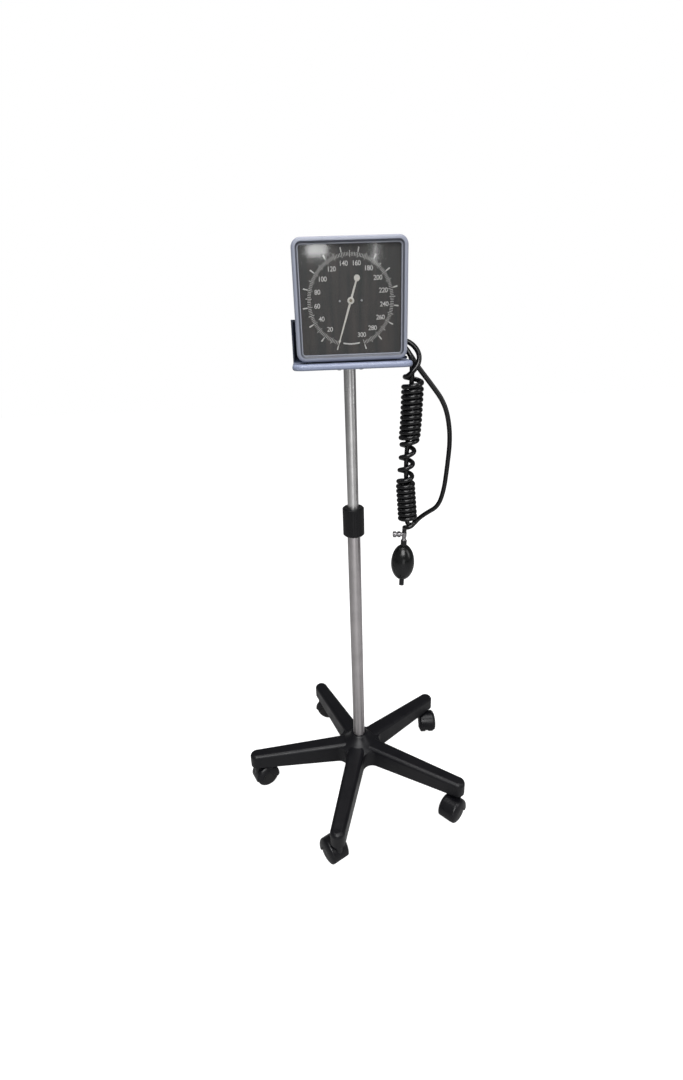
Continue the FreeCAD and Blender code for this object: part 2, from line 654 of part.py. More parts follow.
def base_bolt():
    """Hexagon bolt that pulls the pole into the base."""
    seat = SOCKET_Z - SOCKET_FLOOR_WALL - WASHER_T
    corners = [(*polar(BOLT_HEAD_R, 60 * k), seat - BOLT_HEAD_H) for k in range(6)]
    head = polygon_face(corners).extrude(V(0, 0, BOLT_HEAD_H))
    return fused([head, cylinder(BOLT_R, seat - 1, SOCKET_Z + BOLT_REACH)])


def collet():
    """Split sleeve on the outer tube's end. Its fingers grip the inner tube when the collar is tightened."""
    low = COLLAR_Z + COLLET_END_GAP
    high = COLLAR_Z + COLLAR_H - COLLAR_LID - COLLET_END_GAP
    shoulder = TUBE_TOP_Z + COLLET_LIP
    body = turned([(OUTER_TUBE_R + PRESS_GAP, low), (COLLET_R, low), (COLLET_R, shoulder),
                   (COLLET_TIP_R, high), (INNER_TUBE_R + RUN_GAP, high), (INNER_TUBE_R + RUN_GAP, TUBE_TOP_Z),
                   (OUTER_TUBE_R + PRESS_GAP, TUBE_TOP_Z)])
    for k in range(COLLET_SLOTS):
        slot = box(0, COLLET_R + 1, -COLLET_SLOT_W / 2, COLLET_SLOT_W / 2, shoulder + 1, high + 1)
        body = body.cut(placed(slot, turn=360.0 / COLLET_SLOTS * k))
    return body


def collar():
    """Ribbed twist nut round the collet."""
    high = COLLAR_Z + COLLAR_H
    lid = high - COLLAR_LID
    shoulder = TUBE_TOP_Z + COLLET_LIP
    bore = COLLET_R + SLIDE_GAP
    c = COLLAR_CHAMFER
    nut = turned([(bore, COLLAR_Z), (COLLAR_R - c, COLLAR_Z), (COLLAR_R, COLLAR_Z + c), (COLLAR_R, high - c),
                  (COLLAR_R - c, high), (INNER_TUBE_R + FREE_GAP, high), (INNER_TUBE_R + FREE_GAP, lid),
                  (COLLET_TIP_R + FREE_GAP, lid), (bore, shoulder)])
    margin = COLLAR_GROOVE_END * c
    groove_x = COLLAR_R + COLLAR_GROOVE_OUT
    groove = cylinder(COLLAR_GROOVE_R, COLLAR_Z + margin, high - margin, groove_x)
    grooves = [placed(groove, turn=360.0 / COLLAR_RIBS * k) for k in range(COLLAR_RIBS)]
    return nut.cut(Part.makeCompound(grooves))


def inner_tube():
    """Upper tube of the pole, up into the shelf's boss."""
    return pipe(INNER_TUBE_R, INNER_BORE_R, MAST_FOOT_Z, SHELF_Z + SHELF_SPIGOT_H)


def foot_plug():
    """Plug in the inner tube's foot, with the journal and the disc that hold the guide bush."""
    shoulder = MAST_FOOT_Z - JOURNAL_L
    low = shoulder - FOOT_DISC_H
    return turned([(0, low), (FOOT_DISC_R, low), (FOOT_DISC_R, shoulder), (JOURNAL_R, shoulder),
                   (JOURNAL_R, MAST_FOOT_Z), (INNER_BORE_R - PRESS_GAP, MAST_FOOT_Z),
                   (INNER_BORE_R - PRESS_GAP, MAST_FOOT_Z + FOOT_SHANK_L), (0, MAST_FOOT_Z + FOOT_SHANK_L)])


def guide_bush():
    """Plastic bush that slides in the outer tube. The inner tube's foot turns in it."""
    low = MAST_FOOT_Z - JOURNAL_L + BUSH_END_GAP
    return pipe(OUTER_BORE_R - SLIDE_GAP, JOURNAL_R + RUN_GAP, low, MAST_FOOT_Z - BUSH_END_GAP)


# ---- Head: flange, shelf and basket ------------------------------------------------------------------
def screw_ring():
    """Places of the flange's four screws."""
    reach = (FLANGE_R + INNER_TUBE_R) / 2 + 2
    return [polar(reach, 45 + 90 * k) for k in range(4)]


def mast_flange():
    """Steel disc welded round the inner tube's top."""
    disc = turned([(INNER_TUBE_R, FLANGE_Z - FLANGE_WELD), (INNER_TUBE_R + FLANGE_WELD, FLANGE_Z),
                   (FLANGE_R, FLANGE_Z), (FLANGE_R, SHELF_Z), (INNER_TUBE_R, SHELF_Z)])
    for x, y in screw_ring():
        disc = disc.cut(cylinder(SCREW_R + SCREW_HOLE_GAP, FLANGE_Z - 1, SHELF_Z + 1, x, y))
    return disc


def shelf():
    """Moulded shelf with a rounded nose: hollow underneath, with ribs and screw bosses."""
    depth = SHELF_FRONT + SHELF_BACK
    middle = (SHELF_BACK - SHELF_FRONT) / 2
    block = slab(SHELF_W, depth, SHELF_CORNER_R, SHELF_Z, SHELF_TOP_Z)
    block = block.makeFillet(SHELF_NOSE_R, [e for e in block.Edges if e.BoundBox.ZLength < 0.01])
    ceiling = SHELF_TOP_Z - SHELF_WALL
    inner = slab(SHELF_W - 2 * SHELF_WALL, depth - 2 * SHELF_WALL, SHELF_CORNER_R - SHELF_WALL, SHELF_Z - 1,
                 ceiling)
    inner = inner.makeFillet(SHELF_INNER_R, [e for e in inner.Edges if e.BoundBox.ZMin > ceiling - 0.1])
    shell = block.cut(inner)
    top = SHELF_TOP_Z - SHELF_WALL / 2
    low = SHELF_Z
    ribs = [box(x - RIB_WALL / 2, x + RIB_WALL / 2, -depth / 2 + 1, depth / 2 - 1, low + 1, top)
            for x in (SHELF_W * share for share in RIB_PLACES)]
    ribs += [box(-SHELF_W / 2 + 1, SHELF_W / 2 - 1, y - RIB_WALL / 2, y + RIB_WALL / 2, low + 1, top)
             for y in (depth * share - middle for share in RIB_PLACES)]
    ribs = [r.common(block) for r in ribs]
    body = placed(fused([shell] + ribs), (0, middle, 0))
    hub = cylinder(INNER_TUBE_R + SHELF_BOSS_WALL, low, top)
    posts = [cylinder(SCREW_R + SHELF_POST_WALL, low, top, x, y) for x, y in screw_ring() + bracket_screws()]
    body = fused([body, hub] + posts)
    body = body.cut(cylinder(INNER_TUBE_R + PRESS_GAP, low - 1, low + SHELF_SPIGOT_H))
    for x, y in screw_ring():
        body = body.cut(cylinder(SCREW_R, low - 1, top - 1.5, x, y))
    for x, y in bracket_screws():
        body = body.cut(cylinder(SCREW_R, low + 3, SHELF_TOP_Z + 1, x, y))
    return body


def basket():
    """Open tray for the cuff. Its side walls reach forward to the gauge, and its floor runs on under it."""
    depth = BASKET_BACK + BASKET_FRONT
    middle = (BASKET_BACK - BASKET_FRONT) / 2
    spare = 2 * BASKET_CORNER_R
    high = SHELF_TOP_Z + BASKET_H

    def tray(inset, low, top):
        """The tray's plan, square at the front, moved in by inset."""
        solid = slab(BASKET_W - 2 * inset, depth + spare - 2 * inset, BASKET_CORNER_R - inset, low, top)
        solid = placed(solid, (0, middle - spare / 2, 0))
        return solid.common(box(-BASKET_W, BASKET_W, -BASKET_FRONT, BASKET_BACK, low, top))

    body = tray(0, SHELF_TOP_Z, high).cut(tray(BASKET_WALL, FLOOR_Z, high + 1))
    rim_z = high - BASKET_RIM_H
    rim = tray(0, rim_z, high).cut(tray(BASKET_WALL + BASKET_RIM, rim_z - 1, high + 1))
    tongue = slab(GAUGE_W - 2 * GAUGE_CORNER_R, 2 * BASKET_TONGUE, 8, SHELF_TOP_Z, FLOOR_Z)
    tongue = tongue.common(box(-BASKET_W, BASKET_W, -BASKET_TONGUE, 0, 0, high))
    body = fused([body, rim, tongue])
    low, top = (FLOOR_Z + z for z in HOSE_SLOT_Z)
    slot = box(BASKET_W / 2 - BASKET_WALL - 1, BASKET_W / 2 + 3, -BASKET_FRONT - 1, HOSE_SLOT_BACK, low, top)
    slot = slot.makeFillet(6, [e for e in slot.Edges if e.BoundBox.YMin > 0 and e.BoundBox.XLength > 1])
    body = body.cut(slot)
    for x, y in bracket_screws():
        body = body.cut(cylinder(SCREW_R + SCREW_HOLE_GAP, SHELF_TOP_Z - 1, FLOOR_Z + 1, x, y))
    return body


# ---- Gauge mount -------------------------------------------------------------------------------------
def bracket_screws():
    """Places of the screws through the brackets' feet."""
    y = BRACKET_HOLE - GAUGE_BACK
    return [(-BRACKET_X, y), (BRACKET_X, y)]


def gauge_brackets():
    """Two bent steel angles that hold the gauge's back to the basket's floor."""
    t = BRACKET_T
    y0 = -GAUGE_BACK
    z0 = FLOOR_Z
    outline = [(0, y0, z0), (0, y0 + BRACKET_FOOT, z0), (0, y0 + BRACKET_FOOT, z0 + t), (0, y0 + t, z0 + t),
               (0, y0 + t, z0 + BRACKET_H), (0, y0, z0 + BRACKET_H)]
    angle = polygon_face(outline).extrude(V(BRACKET_W, 0, 0))
    inner = [e for e in angle.Edges if e.BoundBox.XLength > 1 and abs(e.BoundBox.YMin - y0 - t) < 0.01
             and abs(e.BoundBox.ZMin - z0 - t) < 0.01]
    angle = angle.makeFillet(BRACKET_BEND_R, inner)
    made = []
    for x, y in bracket_screws():
        leg = placed(angle, (x - BRACKET_W / 2, 0, 0))
        leg = leg.cut(cylinder(SCREW_R + SCREW_HOLE_GAP, z0 - 1, z0 + t + 1, x, y))
        start = V(x, y0 - 1, z0 + CASE_SCREW_H)
        made.append(leg.cut(Part.makeCylinder(SCREW_R + SCREW_HOLE_GAP, 2 * t + 2, start, V(0, 1, 0))))
    return Part.makeCompound(made)


# ---- Gauge case --------------------------------------------------------------------------------------
def case_screw_places():
    """Where the brackets' upright screws enter the case, in the dial's own axes."""
    up = FLOOR_Z + CASE_SCREW_H - GAUGE_Z
    return [(-BRACKET_X, up), (BRACKET_X, up)]


def pillar_places():
    """Places of the movement's pillars and of the screws in them, in the dial's own axes."""
    heights = (PLATE_MARGIN - PILLAR_IN, -PIVOT_DROP - PLATE_MARGIN + PILLAR_IN)
    return [(side * PILLAR_X, y) for side in (-1, 1) for y in heights]


def rear_case():
    """Back shell of the gauge, with posts for the movement and bosses for the bracket screws."""
    shell = slab(CASE_W, CASE_W, CASE_CORNER_R, GAUGE_BACK, CASE_FRONT)
    shell = shell.makeFillet(CASE_EDGE_R, [e for e in shell.Edges if e.BoundBox.ZMax < GAUGE_BACK + 0.1])
    hollow = slab(CASE_W - 2 * CASE_WALL, CASE_W - 2 * CASE_WALL, CASE_CORNER_R - CASE_WALL,
                  GAUGE_BACK + CASE_WALL, CASE_FRONT + 1)
    floor_edges = [e for e in hollow.Edges if e.BoundBox.ZMax < GAUGE_BACK + CASE_WALL + 0.1]
    hollow = hollow.makeFillet(CASE_EDGE_R - CASE_WALL, floor_edges)
    shell = shell.cut(hollow)
    screw_end = GAUGE_BACK + CASE_SCREW_L
    boss_top = screw_end + CASE_WALL
    posts = [cylinder(PILLAR_R, GAUGE_BACK + 1, back_plate_h(), x, y) for x, y in pillar_places()]
    posts += [cylinder(SCREW_R + CASE_WALL, GAUGE_BACK + 1, boss_top, x, y) for x, y in case_screw_places()]
    shell = fused([shell] + posts)
    holes = [cylinder(PILLAR_SCREW_R, GAUGE_BACK - 1, back_plate_h() + 1, x, y) for x, y in pillar_places()]
    holes += [cylinder(SCREW_R, GAUGE_BACK - 1, screw_end, x, y) for x, y in case_screw_places()]
    holes.append(cylinder(PORT_R + PORT_HOLE_GAP, GAUGE_BACK - 1, GAUGE_BACK + CASE_WALL + 1, *port_place()))
    shell = shell.cut(holes)
    return to_dial(shell)


def bezel():
    """Front frame: rounded outside, a step down to the window and a light ledge that holds the lens."""
    f = GAUGE_FRONT
    r = BEZEL_ROUND_R
    outer = [(r - r * math.cos(a), f - r + r * math.sin(a)) for a in (math.pi / 2 * k / 5 for k in range(6))]
    ledge = f - BEZEL_STEP
    back = ledge - BEZEL_LIP
    profile = [(0, f - BEZEL_DEPTH)] + outer + [
        (BEZEL_FACE - BEZEL_BEVEL, f), (BEZEL_FACE, f - BEZEL_STEP / 2), (BEZEL_FACE, ledge),
        (WINDOW_INSET, ledge), (WINDOW_INSET, back), (BEZEL_SKIRT, back), (BEZEL_SKIRT, f - BEZEL_DEPTH)]
    return to_dial(frame_ring(GAUGE_W, GAUGE_CORNER_R, profile))


def lens():
    """Flat clear window."""
    return to_dial(slab(LENS_W, LENS_W, LENS_CORNER_R, LENS_BACK, LENS_BACK + LENS_T))


def lens_gasket():
    """Rubber ring between the lens and the rear case."""
    hole_w = LENS_W - 2 * GASKET_W
    ring = slab(LENS_W, LENS_W, LENS_CORNER_R, CASE_FRONT, LENS_BACK)
    return to_dial(ring.cut(slab(hole_w, hole_w, LENS_CORNER_R - GASKET_W, CASE_FRONT - 1, LENS_BACK + 1)))


# ---- Movement ----------------------------------------------------------------------------------------
def back_plate_h():
    """Back face of the movement, ahead of the pole's axis."""
    return GEAR_Y - PLATE_GAP / 2 - PLATE_T


def front_plate_h():
    """Back face of the movement's front plate."""
    return GEAR_Y + PLATE_GAP / 2


def dial_posts():
    """Places of the two dial screws."""
    return [(-DIAL_SCREW_X, 0), (DIAL_SCREW_X, 0)]


def dial_plate():
    """Square dial with holes for the arbor and its two screws."""
    plate = slab(DIAL_W, DIAL_W, DIAL_CORNER_R, DIAL_FRONT - DIAL_T, DIAL_FRONT)
    plate = plate.cut(cylinder(ARBOR_R + 1.3, 0, GAUGE_FRONT))
    for x, y in dial_posts():
        plate = plate.cut(cylinder(DIAL_SCREW_R + DIAL_SCREW_GAP, 0, GAUGE_FRONT, x, y))
    return to_dial(plate)


def dial_screws():
    """Two small screws that hold the dial to the movement."""
    head = DIAL_FRONT + 0.6
    shank = cylinder(DIAL_SCREW_R, DIAL_FRONT - DIAL_T - 4, head - 0.1)
    screw = fused([cylinder(1.6, DIAL_FRONT, head), shank])
    return to_dial(Part.makeCompound([placed(screw, (x, y, 0)) for x, y in dial_posts()]))


def movement_plate(low):
    """Blank of a movement plate, with its two pivot holes."""
    height = PIVOT_DROP + 2 * PLATE_MARGIN
    plate = placed(slab(PLATE_W, height, 4, low, low + PLATE_T), (0, -PIVOT_DROP / 2, 0))
    for y in (0, -PIVOT_DROP):
        plate = plate.cut(cylinder(ARBOR_R + RUN_GAP, low - 1, low + PLATE_T + 1, 0, y))
    return plate


def movement_back_plate():
    """Brass plate screwed to the case's posts."""
    plate = movement_plate(back_plate_h())
    for x, y in pillar_places():
        plate = plate.cut(cylinder(PILLAR_SCREW_R + DIAL_SCREW_GAP, 0, GAUGE_FRONT, x, y))
    return to_dial(plate)


def movement_front_plate():
    """Brass plate under the dial, with two posts for the dial screws."""
    low = front_plate_h()
    plate = movement_plate(low)
    bar = slab(2 * DIAL_SCREW_X + 8, 8, 3.9, low, low + PLATE_T)
    posts = [cylinder(2.4, low, DIAL_FRONT - DIAL_T, x, y) for x, y in dial_posts()]
    plate = fused([plate, bar.cut(cylinder(ARBOR_R + RUN_GAP, 0, GAUGE_FRONT))] + posts)
    for x, y in dial_posts():
        plate = plate.cut(cylinder(DIAL_SCREW_R, DIAL_FRONT - DIAL_T - 4, GAUGE_FRONT, x, y))
    return to_dial(plate)


def movement_pillars():
    """Four brass pillars between the plates, tapped for the screws from behind."""
    low = back_plate_h() + PLATE_T
    made = [pipe(PILLAR_R, PILLAR_SCREW_R, low, front_plate_h(), x, y) for x, y in pillar_places()]
    return to_dial(Part.makeCompound(made))


def involute(base, radius):
    """Polar angle of an involute of a base circle where it reaches a radius."""
    roll = math.sqrt(max((radius / base) ** 2 - 1, 0.0))
    return roll - math.atan(roll)


def tooth(teeth, grow):
    """(radius, half angle) points from root to tip of a tooth's flank. grow thickens (+) or thins (-) it."""
    pitch = GEAR_MODULE * teeth / 2
    base = pitch * math.cos(math.radians(PRESSURE_ANGLE))
    root = pitch - DEDENDUM * GEAR_MODULE
    tip = pitch + ADDENDUM * GEAR_MODULE
    half = (math.pi * GEAR_MODULE / 4 + grow / 2) / pitch
    start = max(base, root)
    flank = [start + (tip - start) * j / 3 for j in range(4)]
    points = [(r, half + involute(base, pitch) - involute(base, r)) for r in flank]
    if root < start:
        points.insert(0, (root, points[0][1]))
    return points


def toothed(teeth, centres, grow):
    """Closed list of (x, y) round the teeth at the given angles (radians), from the first to the last."""
    flank = tooth(teeth, grow)
    outline = []
    for centre in centres:
        outline += [(r, centre - a) for r, a in flank]
        outline += [(r, centre + a) for r, a in reversed(flank)]
    return [(r * math.cos(a), r * math.sin(a)) for r, a in outline]


def pinion_arbor():
    """Pinion and its arbor, from the back plate to the pointer."""
    step = 2 * math.pi / PINION_TEETH
    gap_down = -math.pi / 2 + step / 2
    outline = toothed(PINION_TEETH, [gap_down + step * k for k in range(PINION_TEETH)], -BACKLASH)
    gear = polygon_face([(x, y, GEAR_Y - PINION_L / 2) for x, y in outline]).extrude(V(0, 0, PINION_L))
    arbor = cylinder(ARBOR_R, back_plate_h() + 0.2, DIAL_FRONT + 2.2)
    return to_dial(fused([gear, arbor]))


def sector_gear():
    """Toothed sector on its arbor, with two spokes, a hub and the tail that the push rod lifts."""
    step = 2 * math.pi / SECTOR_TEETH
    up = math.pi / 2
    left = int(math.radians(SECTOR_SPARE) / step)
    right = int(math.radians(SECTOR_SPARE + SECTOR_SWING) / step)
    centres = [up + step * k for k in range(-right, left + 1)]
    low = GEAR_Y - SECTOR_T / 2
    teeth = toothed(SECTOR_TEETH, centres, -BACKLASH)
    root = SECTOR_PITCH_R - DEDENDUM * GEAR_MODULE
    rim_r = root - SECTOR_RIM
    first = centres[0] - step / 2
    last = centres[-1] + step / 2
    arc = [(rim_r * math.cos(a), rim_r * math.sin(a))
           for a in (last + (first - last) * j / 8 for j in range(9))]
    ends = [(root * math.cos(last), root * math.sin(last))]
    start = [(root * math.cos(first), root * math.sin(first))]
    rim = polygon_face([(x, y, low) for x, y in start + teeth + ends + arc]).extrude(V(0, 0, SECTOR_T))
    w = SECTOR_SPOKE_W / 2
    spokes = [placed(box(0, rim_r + 1, -w, w, low, low + SECTOR_T), turn=math.degrees(a))
              for a in (first + 0.08, last - 0.08)]
    nose = polar(SECTOR_TAIL, TAIL_REST)
    tail = placed(box(0, SECTOR_TAIL, -TAIL_W / 2, TAIL_W / 2, low, low + SECTOR_T), turn=TAIL_REST)
    hub = cylinder(SECTOR_HUB_R, low, low + SECTOR_T)
    arbor = cylinder(ARBOR_R, back_plate_h() + 0.2, front_plate_h() + PLATE_T - 0.2)
    gear = fused([rim, hub, tail, cylinder(TAIL_NOSE_R, low, low + SECTOR_T, *nose), arbor] + spokes)
    return to_dial(placed(gear, (0, -PIVOT_DROP, 0)))


def hairspring():
    """Flat spiral spring between the arbor's collet and a pillar, in front of the gears."""
    z = GEAR_Y + PLATE_GAP / 2 - SPRING_BEHIND
    turns = 2.5
    steps = 30

    def spiral(offset):
        """Points of the spiral, moved outwards by offset."""
        points = []
        for j in range(steps + 1):
            share = j / steps
            radius = ARBOR_R + SPRING_START + SPRING_GROWS * share + offset
            points.append((*polar(radius, 360 * turns * share), z))
        return points

    return to_dial(polygon_face(spiral(0) + spiral(SPRING_T)[::-1]).extrude(V(0, 0, SPRING_W)))


def pointer():
    """Slim pointer with its hub and round counterweight, at zero."""
    base = DIAL_FRONT + 1.2
    half = POINTER_ROOT_W / 2
    tip = POINTER_TIP_W
    edge = [(-POINTER_TAIL, half * 0.7), (0, half), (POINTER_R * 0.8, tip), (POINTER_R * 0.84, 2 * tip),
            (POINTER_R * 0.88, tip / 2), (POINTER_R, tip / 3)]
    outline = [(x, -y, base) for x, y in edge] + [(x, y, base) for x, y in reversed(edge)]
    needle = polygon_face(outline).extrude(V(0, 0, POINTER_T))
    disc = cylinder(TAIL_DISC_R, base, base + POINTER_T, -POINTER_TAIL)
    hub = turned([(0, base), (HUB_R, base), (HUB_R, base + 1.2), (HUB_R - 1, base + 1.6), (0, base + 1.6)])
    shape = fused([needle, disc, hub]).cut(cylinder(ARBOR_R + PRESS_GAP, base - 1, DIAL_FRONT + 2.2))
    return to_dial(placed(shape, turn=-90 - POINTER_ZERO))


def port_place():
    """Where the pressure port passes the case's back, in the dial's own axes."""
    return ROD_X, PORT_Z - GAUGE_Z


def bellows_can():
    """Brass can round the bellows, with the bush that guides the push rod."""
    top = CAN_TOP
    low = top - CAN_H
    inside_r = CAN_R - CAN_WALL
    bush_top = top + 1.6
    can = turned([(0, low), (CAN_R, low), (CAN_R, top), (ROD_R + 2, top), (ROD_R + 2, bush_top),
                  (ROD_R + RUN_GAP, bush_top), (ROD_R + RUN_GAP, top - CAN_WALL), (inside_r, top - CAN_WALL),
                  (inside_r, low + CAN_WALL), (0, low + CAN_WALL)])
    can = placed(can, (ROD_X, -GEAR_Y, GAUGE_Z))
    hole = Part.makeCylinder(PORT_HOLE_R, CAN_R + 2, V(ROD_X, -GEAR_Y, GAUGE_Z + port_place()[1]), V(0, 1, 0))
    return can.cut(hole)


def bellows_foot():
    """Underside of the bellows at rest, above the dial's middle."""
    return CAN_TOP - CAN_H + CAN_WALL + ROD_TRAVEL


def bellows():
    """Folded brass bellows, closed at its foot, with the push rod standing in it."""
    top = CAN_TOP - CAN_WALL - FREE_GAP
    foot = bellows_foot()
    fold = (top - foot - 1) / (2 * BELLOWS_FOLDS)
    outer = [(BELLOWS_R if j % 2 else BELLOWS_ROOT_R, top - fold * j) for j in range(2 * BELLOWS_FOLDS + 1)]
    inner = [(r - BELLOWS_T, h) for r, h in outer]
    floor = foot + BELLOWS_T
    profile = outer + [(BELLOWS_ROOT_R, foot), (0, foot), (0, floor), (BELLOWS_ROOT_R - BELLOWS_T, floor)]
    profile += inner[::-1]
    return placed(turned(profile), (ROD_X, -GEAR_Y, GAUGE_Z))


def push_rod():
    """Rod that the bellows lifts against the sector's tail."""
    foot = bellows_foot() + BELLOWS_T + ROD_GAP
    top = NOSE_LOW - ROD_GAP
    rod = turned([(0, foot), (ROD_FOOT_R, foot), (ROD_FOOT_R, foot + 1), (ROD_R, foot + 1),
                  (ROD_R, top - ROD_TIP_H), (ROD_TIP_R, top), (0, top)])
    return placed(rod, (ROD_X, -GEAR_Y, GAUGE_Z))


def pressure_port():
    """Two-way elbow through the case's back. Its inner end meets the can; its barbs point to the right."""
    x, up = port_place()
    z = GAUGE_Z + up
    can_back = -GEAR_Y + CAN_R
    forward = V(0, 1, 0)
    start = can_back + RUN_GAP
    length = PORT_PITCH - PORT_OUT + PORT_R - start
    pieces = [Part.makeCylinder(PORT_HOLE_R - RUN_GAP, 2, V(x, can_back - CAN_WALL, z), forward),
              Part.makeCylinder(PORT_R, length, V(x, start, z), forward),
              Part.makeCylinder(PORT_R + 3, 3, V(x, -GAUGE_BACK, z), forward)]
    for y in (-PORT_OUT, PORT_PITCH - PORT_OUT):
        pieces.append(Part.makeCylinder(PORT_ARM_R, PORT_ARM_L, V(x, y, z), V(1, 0, 0)))
        pieces.append(Part.makeCylinder(HOSE_BORE / 2, PORT_BARB_L, V(PORT_END_X, y, z), V(1, 0, 0)))
    return fused(pieces)


# ---- Cuff and its connector --------------------------------------------------------------------------
def cuff():
    """The rolled cuff, lying in the basket: a soft roll with an open core."""
    z = FLOOR_Z + CUFF_R + FREE_GAP
    roll = Part.makeCylinder(CUFF_R, CUFF_L, V(CUFF_LEFT, CUFF_Y, z), V(1, 0, 0))
    return roll.makeFillet(CUFF_EDGE_R, [e for e in roll.Edges if e.BoundBox.XLength < 0.01])


def cuff_connector():
    """Short coupling where the hose joins the cuff's bladder."""
    _, y, z = CUFF_HOSE[-1]
    return Part.makeCylinder(CONNECTOR_R, CONNECTOR_L, V(CUFF_RIGHT, y, z), V(1, 0, 0))


# ---- Bulb and release valve --------------------------------------------------------------------------
def hang(shape):
    """Hangs a piece, drawn below the origin, from the coiled hose's tail."""
    return placed(shape, BULB_HOSE[0], BULB_LEAN, (0, 1, 0))


def valve_body():
    """Chromed valve with a side boss for the release screw and a barb in the bulb's neck."""
    h = -VALVE_H
    waist = -2 * VALVE_KNOB_Z
    waist_r = VALVE_R - 0.8
    body = turned([(0, 0), (VALVE_R - 1, 0), (VALVE_R, -1), (VALVE_R, waist), (waist_r, waist - 1),
                   (waist_r, h + 3), (VALVE_R, h + 2), (VALVE_R, h), (VALVE_BARB_R, h),
                   (VALVE_BARB_R, h - VALVE_BARB_L), (0, h - VALVE_BARB_L)])
    boss = Part.makeCylinder(VALVE_BOSS_R, VALVE_BOSS_L, V(0, 0, -VALVE_KNOB_Z), V(-1, 0, 0))
    bore = Part.makeCylinder(KNOB_STEM_R + RUN_GAP, VALVE_BOSS_L, V(-1, 0, -VALVE_KNOB_Z), V(-1, 0, 0))
    return hang(fused([body, boss]).cut(bore))


def release_knob():
    """Knurled screw that lets the air out: two rings with a waist, on a thin stem."""
    r = KNOB_R
    w = KNOB_WAIST_R
    start = VALVE_BOSS_L + 0.5
    end = start + KNOB_L
    half = KNOB_L / 2
    knob = turned([(0, 1.5), (KNOB_STEM_R, 1.5), (KNOB_STEM_R, start), (r - 0.6, start), (r, start + 0.6),
                   (r, start + half - 2.2), (w, start + half - 1.2), (w, start + half + 0.4),
                   (r, start + half + 1.4), (r, end - 0.8), (r - 0.8, end), (0, end)])
    groove = box(r - 0.35, r + 1, -0.3, 0.3, start + 0.8, end - 1)
    knob = knob.cut(Part.makeCompound([placed(groove, turn=20 * k) for k in range(18)]))
    return hang(placed(knob, (0, 0, -VALVE_KNOB_Z), -90, (0, 1, 0)))


def bulb_shell(inset):
    """Edges of the bulb's half section, moved in by inset: an egg with its two ends."""
    radius = BULB_R - inset
    belly = V(radius, 0, -VALVE_H - BULB_NECK_L - BULB_BELLY)
    centre = V(0, 0, belly.z)
    edges = []
    ends = []
    for way, length, mouth in ((1, BULB_BELLY, BULB_NECK_R), (-1, BULB_L - BULB_BELLY, NIPPLE_R)):
        mouth_r = mouth - inset
        turn = math.asin(mouth_r / radius)
        half = (length - inset) / math.cos(turn)
        arc = Part.ArcOfEllipse(Part.Ellipse(V(0, 0, belly.z + way * half), belly, centre), turn, math.pi / 2)
        edges.append(arc.toShape())
        ends.append(V(mouth_r, 0, belly.z + way * half * math.cos(turn)))
    return edges, ends


def bulb():
    """Hollow rubber bulb with a neck round the valve's barb and a nipple at the bottom."""
    start = -VALVE_H
    edges, (top, low) = bulb_shell(0)
    seat = start - VALVE_BARB_L - FREE_GAP
    foot = low.z - NIPPLE_L
    outline = lines([top, V(BULB_NECK_R, 0, start), V(VALVE_BARB_R, 0, start), V(VALVE_BARB_R, 0, seat),
                     V(0, 0, seat), V(0, 0, foot), V(NIPPLE_R, 0, foot), low])
    solid = revolved_edges(edges + outline)
    inner, (inner_top, inner_low) = bulb_shell(BULB_WALL)
    space = revolved_edges(inner + lines([inner_top, V(0, 0, inner_top.z), V(0, 0, inner_low.z), inner_low]))
    bore = cylinder(INLET_R + PRESS_GAP, foot - 1, inner_low.z + 1)
    throat = cylinder(VALVE_BARB_R - 1.5, inner_top.z - 1, start - 1)
    return hang(solid.cut([space, bore, throat]))


def bulb_inlet_valve():
    """Small metal air inlet in the bulb's nipple."""
    low = -VALVE_H - BULB_NECK_L - BULB_L - NIPPLE_L
    return hang(pipe(INLET_R, 1.0, low + 0.5, low + 9))


# ---- Screws ------------------------------------------------------------------------------------------
def head_screws():
    """Equal pan-head screws: flange to shelf, brackets to floor and case, movement to case."""
    shelf_screw = pan_screw(SCREW_R, SHELF_SCREW_L)
    case_screw = pan_screw(SCREW_R, CASE_SCREW_L)
    y_case = BRACKET_T - GAUGE_BACK
    screws = [placed(shelf_screw, (x, y, FLANGE_Z), 180, (1, 0, 0)) for x, y in screw_ring()]
    screws += [placed(shelf_screw, (x, y, FLOOR_Z + BRACKET_T)) for x, y in bracket_screws()]
    screws += [placed(case_screw, (x, y_case, GAUGE_Z + up), -90, (1, 0, 0)) for x, up in case_screw_places()]
    return Part.makeCompound(screws)


def movement_screws():
    """Four screws through the case's back and the movement's back plate into the pillars."""
    length = back_plate_h() + PLATE_T - GAUGE_BACK + PILLAR_SCREW_HOLD
    screw = pan_screw(PILLAR_SCREW_R, length)
    return Part.makeCompound([placed(screw, (x, -GAUGE_BACK, GAUGE_Z + up), -90, (1, 0, 0))
                              for x, up in pillar_places()])


# ---- Write every piece -------------------------------------------------------------------------------
def write(name, shape):
    """Writes one piece's STEP file."""
    shape.exportStep(os.path.join("parts", name + ".step"))
    print(name, "solids", len(shape.Solids), "volume", round(shape.Volume, 1), "valid", shape.isValid())


